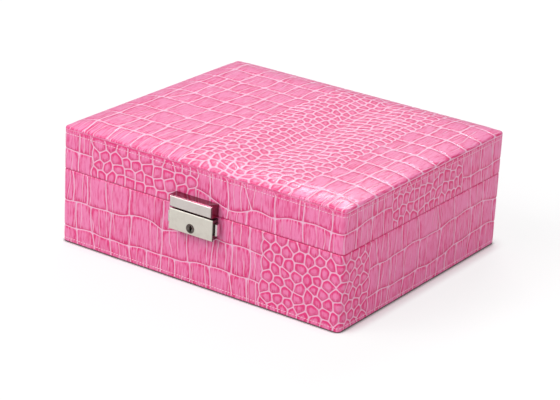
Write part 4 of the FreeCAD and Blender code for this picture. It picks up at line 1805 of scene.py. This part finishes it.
    def top(self) -> tuple[Hide, PadWrap]:
        """Grain of the lid's top: belly on the left and right, a chevron of small scales between.

        Returns:
            The flat hide and its draping.
        """
        wrap = PadWrap(foot=self.sizes.band_top + self.sizes.pad_gap)
        half_x = wrap.half_x - wrap.lip + wrap.spare
        half_y = wrap.half_y - wrap.lip + wrap.spare
        rise = (Bump(-10, 30, 4.5),)
        heights = (-82.6, -59.4, -36.6, -12.9, 8.4, 31.3, 51.3, 72.7, 90.5)
        edges = (RowLine(-half_y), RowLine(half_y))
        left_lines = (RowLine(height, rise if -70 < height < 0 else ()) for height in heights)
        left_rows = (edges[0], *left_lines, edges[1])
        heights = (-86.0, -65.1, -45.1, -25.9, -8.7, 8.0, 27.0, 47.7, 67.7, 87.0)
        right_rows = (edges[0], *(RowLine(height) for height in heights), edges[1])
        left = (
            self.front((16.5, 15.1), (37.6, 36.6), 56.6, (76.0, 75.1), (89.5, 87.3)),
            self.front(15.5, 33.7, (47.5, 44.0), 58.7, 75.9, (91.5, 89.5)),
            self.front(15.4, 35.4, 57.0, 73.7, (90.0, 88.0)),
            self.front(15.1, 35.9, (56.6, 58.7), 73.0, (89.5, 86.6)),
            self.front((16.6, 14.4), (20.6, 28.2), 38.7, (55.9, 57.3), 72.6, (90.0, 88.0)),
            self.front(14.5, 27.3, 40.1, 57.3, 73.0, 87.3),
            self.front(15.1, 27.3, 40.9, 58.0, 73.7, 87.7),
            self.front(16.6, 37.3, 57.7, 75.1, 89.4),
            self.front(15.9, 37.3, 57.3, 74.4, 88.7),
            self.front(15.5, 37.0, 57.0, 74.0, 88.0),
        )
        inner = (200.7, 200.7, 197.6, 197.1, 195.0, 196.7, 198.6, 198.3, 199.3, 197.1, 197.0)
        column_width = 14.6
        right = tuple(self.front(place, place + column_width) for place in inner)
        left_end, right_start = self.front(99.0, 187.0)
        zones = (
            Zone(Grain.BELLY, -half_x, left_end, left_rows, left),
            Zone(Grain.FLANK, left_end, right_start, edges, pitch=(8.2, 6.8), offset=0.04, chevron=17.0),
            Zone(Grain.BELLY, right_start, half_x, right_rows, right),
        )
        # The top has no painted shading on its joints.
        return Hide(zones, seed=8, strength=0.6, painted_shading=0.0, breadth=1.25), wrap


@dataclass
class LeatherWork:
    """Leather of the base and the lid, with the padding under the lid's top."""

    sizes: CaseSizes
    leather: Material

    def __post_init__(self) -> None:
        """Set up the maker of the skins."""
        self.maker = SkinMaker(self.sizes)

    @property
    def leaf_room(self) -> float:
        """Depth of the room for a hinge leaf."""
        return self.sizes.leather + self.sizes.leaf_gap

    def under_leaf(self, plan: Array) -> Array:
        """Tell which places, seen from above, lie under a hinge leaf."""
        return (abs(abs(plan[:, 0]) - self.sizes.hinge_x) < self.sizes.leaf_half) & (plan[:, 1] > 0)

    def leaf_dent(self, wrap: BoxWrap, seam: int, points: Array) -> Array:
        """Find the depth of the room in the rear rim for the hinge leaves.

        Args:
            wrap: The wrapping.
            seam: 1 where the upper edge meets the leaves, -1 where the lower edge does.
            points: Flat points.

        Returns:
            The depth at each point.
        """
        edge = self.sizes.leaf_edge
        plan = wrap.plan(points[:, 0], wrap.section(points[:, 1])[0])[0]
        turned = points[:, 1] > wrap.high - edge if seam > 0 else points[:, 1] < wrap.low + edge
        return np.where(self.under_leaf(plan) & turned, self.leaf_room, 0.0)

    def led(self, wrap: BoxWrap, along: Array, inset: float, height: float, sunk: float = 0.0) -> Array:
        """Places of an edge that is led over the boards, and lies lower under the hinge leaves."""
        plan = wrap.plan(along, np.full(len(along), inset))[0]
        return np.column_stack([plan, height - np.where(self.under_leaf(plan), sunk, 0.0)])

    def sewn(self, name: str, hide: Hide, wrap: BoxWrap, row: float, seam: int) -> Skin:
        """Prepare a skin with the channel of its row of stitches and the room for the hinge leaves.

        Args:
            name: Name of the piece.
            hide: Its flat net of scales.
            wrap: Its wrapping.
            row: Height of the stitches.
            seam: 1 where its upper edge meets the hinge leaves, -1 where its lower edge does.

        Returns:
            The skin, not yet laid.
        """
        deep, reach = self.sizes.stitch_dent, self.sizes.stitch_reach
        dents = (lambda points: deep * np.exp(-(((points[:, 1] - row) / reach) ** 2)),
                 lambda points: self.leaf_dent(wrap, seam, points))
        return Skin(name, hide, wrap, dents=dents, extra_cuts=(row - reach, row, row + reach))

    def shell(self, skin: Skin, seam: int, low_path: list[tuple[float, float]],
              high_path: list[tuple[float, float]]) -> Piece:
        """Wrap a skin and close it with a plain inner face.

        Args:
            skin: The skin.
            seam: 1 where its upper edge meets the hinge leaves, -1 where its lower edge does.
            low_path: Insets and heights that its lower edge is led through.
            high_path: The same for its upper edge.

        Returns:
            The closed piece.
        """
        obj = skin.lay()
        wrap = skin.wrap
        middle = (wrap.low + wrap.high) / 2
        for path, keep in ((low_path, lambda p: p[:, 2] < middle), (high_path, lambda p: p[:, 2] > middle)):
            Skin.rim(obj, keep)
            for inset, height in path[:-1]:
                sunk = self.leaf_room * seam if (height - middle) * seam > 0 else 0.0
                Skin.pull(obj, lambda points, flat: self.led(wrap, flat[:, 0], inset, height, sunk))
            Skin.pull(obj, lambda points, flat: self.led(wrap, wrap.station(flat[:, 0]), *path[-1]))
            Desk.done()
        Skin.rim(obj)
        bpy.ops.mesh.bridge_edge_loops()
        Desk.done()
        Skin.finish(obj, self.leather)
        return obj

    def base(self) -> Piece:
        """Leather of the base, turned over the rim and in under the foot.

        Returns:
            The piece.
        """
        sizes = self.sizes
        inside = sizes.leather
        low, high = sizes.foot + inside, sizes.base_top - inside
        skin = self.sewn("base_leather_skin", *self.maker.base(), sizes.base_stitch, 1)
        obj = self.shell(skin, 1, [(sizes.hem, sizes.foot), (sizes.hem, low), (inside, low)],
                         [(sizes.rim, sizes.base_top), (sizes.rim, high), (inside, high - inside)])
        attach(obj, "base")
        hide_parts("base_leather")
        return obj

    def band(self) -> Piece:
        """Leather of the lid's sides, turned in at the rim and at the top seam.

        Returns:
            The piece.
        """
        sizes = self.sizes
        inside = sizes.leather
        low = sizes.lid_bottom + inside
        skin = self.sewn("lid_band_skin", *self.maker.band(), sizes.lid_stitch, -1)
        obj = self.shell(skin, -1, [(sizes.rim, sizes.lid_bottom), (sizes.rim, low), (inside, low + inside)],
                         [(inside, sizes.band_top - inside)])
        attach(obj, "lid")
        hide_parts("lid_band_leather")
        return obj

    def top(self) -> Piece:
        """Padded top of the lid with its foam, closed flat against the board.

        Returns:
            The piece.
        """
        hide, wrap = self.maker.top()
        obj = Skin("lid_padded_top", hide, wrap, wrap.trims()).lay()
        shrink = 1 - self.sizes.leather / wrap.half_y
        foot = self.sizes.pad_foot
        Skin.rim(obj)
        Skin.pull(obj, lambda points, flat: points * (shrink, shrink, 1.0))
        Skin.pull(obj, lambda points, flat: np.column_stack([points[:, :2], np.full(len(points), foot)]))
        bpy.ops.mesh.edge_face_add()
        Desk.done()
        Skin.finish(obj, self.leather)
        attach(obj, "lid")
        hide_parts("lid_top_leather", "lid_foam_pad")
        return obj


@dataclass
class Stitching:
    """Row of slanting stitches round the case, in millimetres."""

    name: str
    body: str
    height: float
    wrap: BoxWrap
    thread: Material
    pitch: float = 2.25
    length: float = 1.75
    thick: float = 0.62
    slant: float = 0.16
    sunk: float = 0.1
    sides: int = 6
    rings: int = 5

    def stitch(self) -> Piece:
        """Model one stitch about the origin: a bead drawn out along X with pinched ends.

        Returns:
            The stitch.
        """
        radius = self.thick / 2 * MM
        bpy.ops.object.select_all(action="DESELECT")
        bpy.ops.mesh.primitive_uv_sphere_add(segments=self.sides, ring_count=self.rings, radius=radius)
        obj = bpy.context.object
        Desk.whole(obj)
        bpy.ops.transform.rotate(value=QUARTER, orient_axis="Y", center_override=(0, 0, 0))
        bpy.ops.transform.resize(value=(self.length / self.thick, 1.0, 1.0), center_override=(0, 0, 0))
        bpy.ops.transform.rotate(value=self.slant, orient_axis="Y", center_override=(0, 0, 0))
        Desk.done()
        return obj

    def build(self) -> Piece:
        """Sew the whole row.

        Returns:
            The row as one piece.
        """
        single = self.stitch()
        shape = Desk.points(single)
        faces = [list(polygon.vertices) for polygon in single.data.polygons]
        bpy.data.objects.remove(single)
        count = round(2 * self.wrap.half_girth / self.pitch)
        ways = (np.arange(count) + 0.5) / count * 2 * self.wrap.half_girth - self.wrap.half_girth
        plan, normal = self.wrap.plan(ways, np.full(count, self.sunk))
        points, everything = [], []
        for number in range(count):
            out = np.array([*normal[number], 0.0])
            tangent = np.array([-out[1], out[0], 0.0])
            place = np.array([*plan[number], self.height])
            points.append(place + shape[:, :1] * tangent - shape[:, 1:2] * out
                          + shape[:, 2:] * (0.0, 0.0, 1.0))
            everything.extend([vertex + number * len(shape) for vertex in face] for face in faces)
        obj = Desk.new(self.name, np.vstack(points), everything)
        Skin.finish(obj, self.thread)
        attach(obj, self.body)
        return obj


@dataclass
class RingRolls:
    """Row of padded velvet rolls that hold rings, in millimetres."""

    velvet: Material
    count: int = 6
    slack: float = 0.7
    back_cut: float = 0.96
    back_steps: int = 7
    end_round: float = 2.4
    end_steps: int = 3
    voxel: float = 1.7
    pressure: float = 4.0
    mass: float = 0.15
    quality: int = 5
    frames: int = 20
    most: float = 0.9
    side_room: float = 0.2

    def shape(self) -> Piece:
        """Model the first roll a little small: a block with a round back and softened ends.

        Returns:
            The roll.
        """
        low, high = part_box("ring_roll_1")
        size, middle = high - low, (low + high) / 2
        slack = self.slack * MM
        bpy.ops.object.select_all(action="DESELECT")
        bpy.ops.mesh.primitive_cube_add(size=1.0, location=(0, 0, 0))
        obj = bpy.context.object
        Desk.whole(obj)
        bpy.ops.transform.resize(value=(size.x - slack, size.y - slack, size.z - slack / 2),
                                 center_override=(0, 0, 0))
        bpy.ops.transform.translate(value=(middle.x, middle.y, middle.z - slack / 4))
        Desk.done()
        self.soften(obj, lambda a, b: min(a.z, b.z) > middle.z and abs(a.y - b.y) > size.y / 2,
                    (size.x - slack) / 2 * self.back_cut, self.back_steps)
        self.soften(obj, lambda a, b: abs(a.y - b.y) < size.y / 8 and max(a.z, b.z) > low.z + slack,
                    self.end_round * MM, self.end_steps)
        return obj

    @staticmethod
    def soften(obj: Piece, keep: Callable[[Vector, Vector], bool], width: float,
               steps: int) -> None:
        """Bevel the edges whose two ends pass a test.

        Args:
            obj: The roll.
            keep: Test on the places of an edge's ends.
            width: Width of the bevel in metres.
            steps: Number of segments.
        """
        mesh = obj.data
        Desk.edit(obj, "EDGE")
        Desk.done()
        for edge in mesh.edges:
            edge.select = keep(*(mesh.vertices[number].co for number in edge.vertices))
        Desk.reopen(obj)
        bpy.ops.mesh.bevel(offset=width, segments=steps, affect="EDGES")
        Desk.done()

    def swell(self, obj: Piece) -> None:
        """Blow the roll up as cloth and cap how far each point moves.

        Args:
            obj: The first roll.
        """
        Desk.only(obj)
        obj.data.remesh_voxel_size = self.voxel * MM
        bpy.ops.object.voxel_remesh()
        start = Desk.points(obj)
        cloth = obj.modifiers.new("cloth", "CLOTH")
        cloth.settings.quality = self.quality
        cloth.settings.mass = self.mass
        cloth.settings.use_pressure = True
        cloth.settings.uniform_pressure_force = self.pressure
        cloth.settings.effector_weights.gravity = 0.0
        cloth.point_cache.frame_end = self.frames
        for number in range(1, self.frames + 1):
            bpy.context.scene.frame_set(number)
        Desk.apply(obj)
        bpy.context.scene.frame_set(1)
        moved = Desk.points(obj) - start
        far = np.linalg.norm(moved, axis=1, keepdims=True)
        moved *= np.minimum(1.0, self.most / np.maximum(far, TINY))
        low, high = (np.array(corner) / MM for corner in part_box("ring_roll_1"))
        low -= (self.side_room, 0.0, 0.0)
        high += (self.side_room, 0.0, self.most)
        Desk.move(obj, np.clip(start + moved, low, high))

    @staticmethod
    def copy(first: Piece, number: int) -> Piece:
        """Copy the first roll to another place, mirrored end for end at every odd one.

        Args:
            first: The roll at the first place.
            number: The other place.

        Returns:
            The copy, with its own mesh.
        """
        roll = first.copy()
        roll.data = first.data.copy()
        roll.name = f"ring_roll_soft_{number}"
        bpy.context.scene.collection.objects.link(roll)
        shift = (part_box(f"ring_roll_{number}")[0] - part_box("ring_roll_1")[0]) / MM
        mirrored = number % 2 == 1
        Desk.move(roll, Desk.points(first) * (1, -1 if mirrored else 1, 1) + np.array(shift))
        if mirrored:
            Desk.whole(roll)
            bpy.ops.mesh.flip_normals()
            Desk.done()
        return roll

    def build(self) -> list[Piece]:
        """Make the rolls: one swollen shape, copied to every place.

        Returns:
            The rolls.
        """
        first = self.shape()
        first.name = "ring_roll_soft_1"
        self.swell(first)
        Desk.only(first)
        bpy.ops.object.shade_smooth()
        Desk.dress(first, self.velvet)
        rolls = [first, *(self.copy(first, number) for number in range(2, self.count + 1))]
        for number, roll in enumerate(rolls, 1):
            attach(roll, "tray")
            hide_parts(f"ring_roll_{number}")
        return rolls


@dataclass
class Pulls:
    """Ribbon loops that lift the tray, in millimetres.

    Pinch and lean are shares of the loop's radius, and the legs stand apart by a share of the thickness.
    """

    ribbon: Material
    thick: float = 0.45
    cuts: int = 28
    pinch: float = 0.92
    lean: float = 0.16
    way_share: float = 0.9
    turn_share: float = 0.95
    leg_apart: float = 0.62
    sharp: float = math.radians(50)

    def strip(self, name: str, low: Vector, high: Vector) -> Piece:
        """Make a flat upright strip as wide as the loop.

        Args:
            name: Name of the piece.
            low: Least corner of the loop's box.
            high: Its greatest corner.

        Returns:
            The strip, cut across for bending.
        """
        bpy.ops.object.select_all(action="DESELECT")
        bpy.ops.mesh.primitive_plane_add(size=1.0, location=(0, 0, 0))
        obj = bpy.context.object
        obj.name = name
        for vertex in obj.data.vertices:
            vertex.co = Vector((0.0, (low.y + high.y) / 2 + vertex.co.y * (high.y - low.y), vertex.co.x))
        Desk.whole(obj)
        bpy.ops.mesh.subdivide(number_cuts=self.cuts)
        Desk.done()
        return obj

    def build(self, side: str) -> Piece:
        """Make one loop: a strip led up from the tray's wall, spun over and led down again.

        Args:
            side: left or right.

        Returns:
            The loop.
        """
        node = f"tray_pull_{side}"
        low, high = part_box(node)
        sign = 1.0 if side == "right" else -1.0
        radius = (high.x - low.x) / 2 - self.thick / 2 * MM
        centre_x, centre_z = (low.x + high.x) / 2, high.z - radius - self.thick / 2 * MM
        foot_x = centre_x + sign * radius * self.lean
        leg = centre_z - radius * self.pinch - low.z
        round_way = 2 * math.pi * radius * self.way_share
        total = 2 * leg + round_way
        obj = self.strip(f"tray_ribbon_{side}", low, high)
        points = Desk.points(obj) * MM
        way = (points[:, 2] - points[:, 2].min()) / np.ptp(points[:, 2]) * total
        turn = (2 * np.clip((way - leg) / round_way, 0, 1) - 1) * self.turn_share * math.pi
        up = np.minimum(way, total - way)
        leg_x = foot_x + np.where(way < leg, -1.0, 1.0) * self.thick * self.leg_apart * MM
        points[:, 0] = np.where(up < leg, leg_x, centre_x + radius * np.sin(turn))
        points[:, 2] = np.where(up < leg, low.z + up, centre_z + radius * np.cos(turn))
        Desk.move(obj, points / MM)
        solid = obj.modifiers.new("thickness", "SOLIDIFY")
        solid.thickness = self.thick * MM
        solid.offset = 0.0
        Desk.apply(obj)
        Desk.only(obj)
        bpy.ops.object.shade_smooth_by_angle(angle=self.sharp)
        Desk.dress(obj, self.ribbon)
        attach(obj, "tray")
        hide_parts(node)
        return obj


@dataclass
class Fittings:
    """Carried-over solids, dressed by the record's material slots."""

    finishes: dict[str, Material]
    special: dict[str, Material]

    def dress(self) -> None:
        """Give every carried-over solid its finish."""
        for part in frame["record"]["subparts"]:
            node = part["node"]
            material = self.special.get(node) or self.finishes[part["material_slot"]]
            Desk.dress(frame["nodes"][node], material)
            LOG.info("finish %s on %s", material.name, node)

    def spring(self) -> None:
        """Give each spring of the lock, which shortens with the button that presses it, a mesh of its own."""
        for joint in frame["record"]["behaviour"]["joints"]:
            for held in joint.get("deforming_nodes", []):
                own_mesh(frame["nodes"][held["node"]])
                LOG.info("%s shortens with %s", held["node"], joint["name"])


@dataclass(frozen=True)
class Lamp:
    """Soft light that looks at the case, in metres and watts."""

    name: str
    at: Triple
    wide: float
    tall: float
    power: float
    aim: Triple = (0.0, 0.0, 0.04)

    def hang(self) -> None:
        """Put the light in its place."""
        data = bpy.data.lights.new(self.name, "AREA")
        data.shape = "RECTANGLE"
        data.size = self.wide
        data.size_y = self.tall
        data.energy = self.power
        obj = bpy.data.objects.new(self.name, data)
        obj.location = self.at
        obj.rotation_euler = (Vector(self.aim) - Vector(self.at)).to_track_quat("-Z", "Y").to_euler()
        bpy.context.scene.collection.objects.link(obj)


@dataclass
class Studio:
    """White floor, soft lights, and the camera where the photograph was taken from, in metres and degrees."""

    camera_at: Triple = (0.74376, -1.10585, 0.55879)
    camera_turn: Triple = (68.3697, -2.8725, 35.1525)
    camera_reach: float = 50.0
    lens: float = 132.2
    sensor: float = 36.0
    ambient: float = 0.4
    floor_size: float = 12.0
    floor_glow: float = 0.75
    floor_bounce: float = 0.58
    # Grey of the painted contact shadow under the case's edges.
    contact_shadow_grey: float = 0.05
    shadow_reach: float = 10.0 * MM
    contact_reach: float = 4.0 * MM
    contact_limits: Limits = (0.42, 0.88)
    lamps: tuple[Lamp, ...] = (
        Lamp("key", (-0.7, -1.5, 1.4), 1.3, 1.3, 25.0),
        Lamp("back", (-0.6, 1.18, 1.26), 0.7, 0.25, 8.4),
        Lamp("edge", (-0.8, -0.55, 1.2), 0.8, 0.12, 3.0),
        Lamp("sheen", (-1.02, 0.78, 1.35), 0.7, 0.5, 1.7),
        Lamp("fill", (1.7, -0.5, 0.9), 1.2, 1.2, 12.0),
    )

    def camera(self) -> None:
        """Set up the camera."""
        data = bpy.data.cameras.new("camera")
        data.lens = self.lens
        data.sensor_width = self.sensor
        data.clip_end = self.camera_reach
        obj = bpy.data.objects.new("camera", data)
        obj.location = self.camera_at
        obj.rotation_euler = Euler([math.radians(angle) for angle in self.camera_turn])
        bpy.context.scene.collection.objects.link(obj)
        bpy.context.scene.camera = obj

    def world(self) -> None:
        """White all round for the eye, softer as a light and in reflections."""
        world = bpy.data.worlds.new("studio")
        bpy.context.scene.world = world
        world.use_nodes = True
        nodes = Nodes(world.node_tree)
        soft, white = (nodes.out(nodes.node("ShaderNodeBackground", {}, {"Color": WHITE, "Strength": level}))
                       for level in (self.ambient, 1.0))
        nodes.node("ShaderNodeOutputWorld", {}, {0: nodes.blend(nodes.seen(), soft, white)})

    def floor(self) -> None:
        """Lay the floor, white to the eye but for the case's shadow, which is partly real and partly painted
        from ambient occlusion, with a painted dark contact line.
        """
        bpy.ops.object.select_all(action="DESELECT")
        bpy.ops.mesh.primitive_plane_add(size=self.floor_size, location=(0, 0, 0))
        obj = bpy.context.object
        obj.name = "floor"
        material = bpy.data.materials.new("white_floor")
        material.use_nodes = True
        nodes = Nodes(material.node_tree)
        greys = ((level, level, level, 1.0) for level in (1.0, self.floor_bounce, self.contact_shadow_grey))
        matt, dull, dark = (nodes.out(nodes.node("ShaderNodeBsdfDiffuse", {}, {"Color": grey}))
                            for grey in greys)
        glow = nodes.out(nodes.node("ShaderNodeEmission", {}, {"Color": WHITE}))
        # Painted shadow: ambient occlusion dims the floor's glow near the case and lays a dark contact line
        # under its edges.
        free, tight = nodes.free(self.shadow_reach), nodes.free(self.contact_reach)
        matt = nodes.blend(nodes.ease(tight, self.contact_limits), dark, matt)
        lit = nodes.blend(free * free * free * self.floor_glow, matt, glow)
        nodes.node("ShaderNodeOutputMaterial", {}, {0: nodes.blend(nodes.seen(), dull, lit)})
        Desk.dress(obj, material)

    def build(self) -> None:
        """Set up the whole studio."""
        bpy.context.scene.view_settings.view_transform = "Standard"
        self.camera()
        self.world()
        self.floor()
        for lamp in self.lamps:
            lamp.hang()


def slot_finishes() -> dict[str, Material]:
    """Make the finish of each of the record's material slots.

    Returns:
        The materials by slot.
    """
    looks = (
        Leather("pink_leather"),
        Velvet("rose_velvet", paint(232, 150, 178), paint(190, 92, 126)),
        Fibre("black_felt", paint(52, 49, 52), paint(24, 22, 24), grain=1500.0, lift=0.3),
        Fibre("fibre_board", paint(205, 176, 140), paint(172, 140, 102), grain=900.0, lift=0.1),
        Fibre("foam", paint(246, 238, 214), paint(222, 206, 168), grain=1200.0, lift=0.4),
        Nickel("satin_nickel", paint(226, 223, 215), paint(206, 198, 186), polished=0.3),
        Nickel("bright_nickel", paint(238, 236, 232), paint(214, 206, 196), polished=0.07),
        Nickel("spring_steel", paint(176, 176, 178), paint(140, 138, 136), polished=0.25),
        Silvering("mirror"),
        Thread("ribbon", paint(240, 168, 192), paint(214, 120, 154), twist=1800.0, gloss=0.35),
    )
    return {look.name: look.make() for look in looks}


def lock_finishes() -> dict[str, Material]:
    """Make the finishes of the lock's parts that the photograph shows.

    Returns:
        The materials by node.
    """
    # The side colours are painted dark reflections of the shaded leather round the lock and the hasp.
    lock = Nickel("lock_nickel", paint(232, 229, 217), paint(214, 208, 196), polished=0.08, satin=0.34,
                  satin_front=-106.8 * MM, side=paint(120, 108, 106))
    hasp = Nickel("hasp_nickel", paint(224, 217, 212), paint(210, 202, 196), polished=0.08, satin=0.34,
                  satin_front=-107.8 * MM, side=paint(132, 74, 90))
    # The barrel is painted dark, standing in for the shade and dark reflections in its keyway and dished
    # face.
    barrel = Nickel("barrel_nickel", paint(122, 114, 108), paint(58, 52, 50), polished=0.1)
    return {"lock_case": lock.make(), "hasp_plate": hasp.make(), "key_barrel": barrel.make()}


def main() -> None:
    """Build the case's looks piece by piece."""
    logging.basicConfig(level=logging.INFO, format="%(name)s: %(message)s")
    sizes = CaseSizes()
    made = slot_finishes()
    fittings = Fittings(made, lock_finishes())
    fittings.dress()
    fittings.spring()
    work = LeatherWork(sizes, made["pink_leather"])
    for piece in (work.base(), work.band(), work.top()):
        LOG.info("%s: %d faces", piece.name, len(piece.data.polygons))
    thread = Thread("stitch_thread", paint(250, 208, 225), paint(236, 156, 190), twist=2600.0, gloss=0.5)
    sewing, wrap = thread.make(), work.maker.base_wrap()
    for row in (Stitching("base_stitches", "base", sizes.base_stitch, wrap, sewing),
                Stitching("lid_stitches", "lid", sizes.lid_stitch, wrap, sewing)):
        LOG.info("%s: %d faces", row.name, len(row.build().data.polygons))
    for roll in RingRolls(made["rose_velvet"]).build():
        LOG.info("%s: %d faces", roll.name, len(roll.data.polygons))
    pulls = Pulls(made["ribbon"])
    for side in ("left", "right"):
        LOG.info("%s made", pulls.build(side).name)
    Studio().build()


if __name__ == "__main__":
    main()
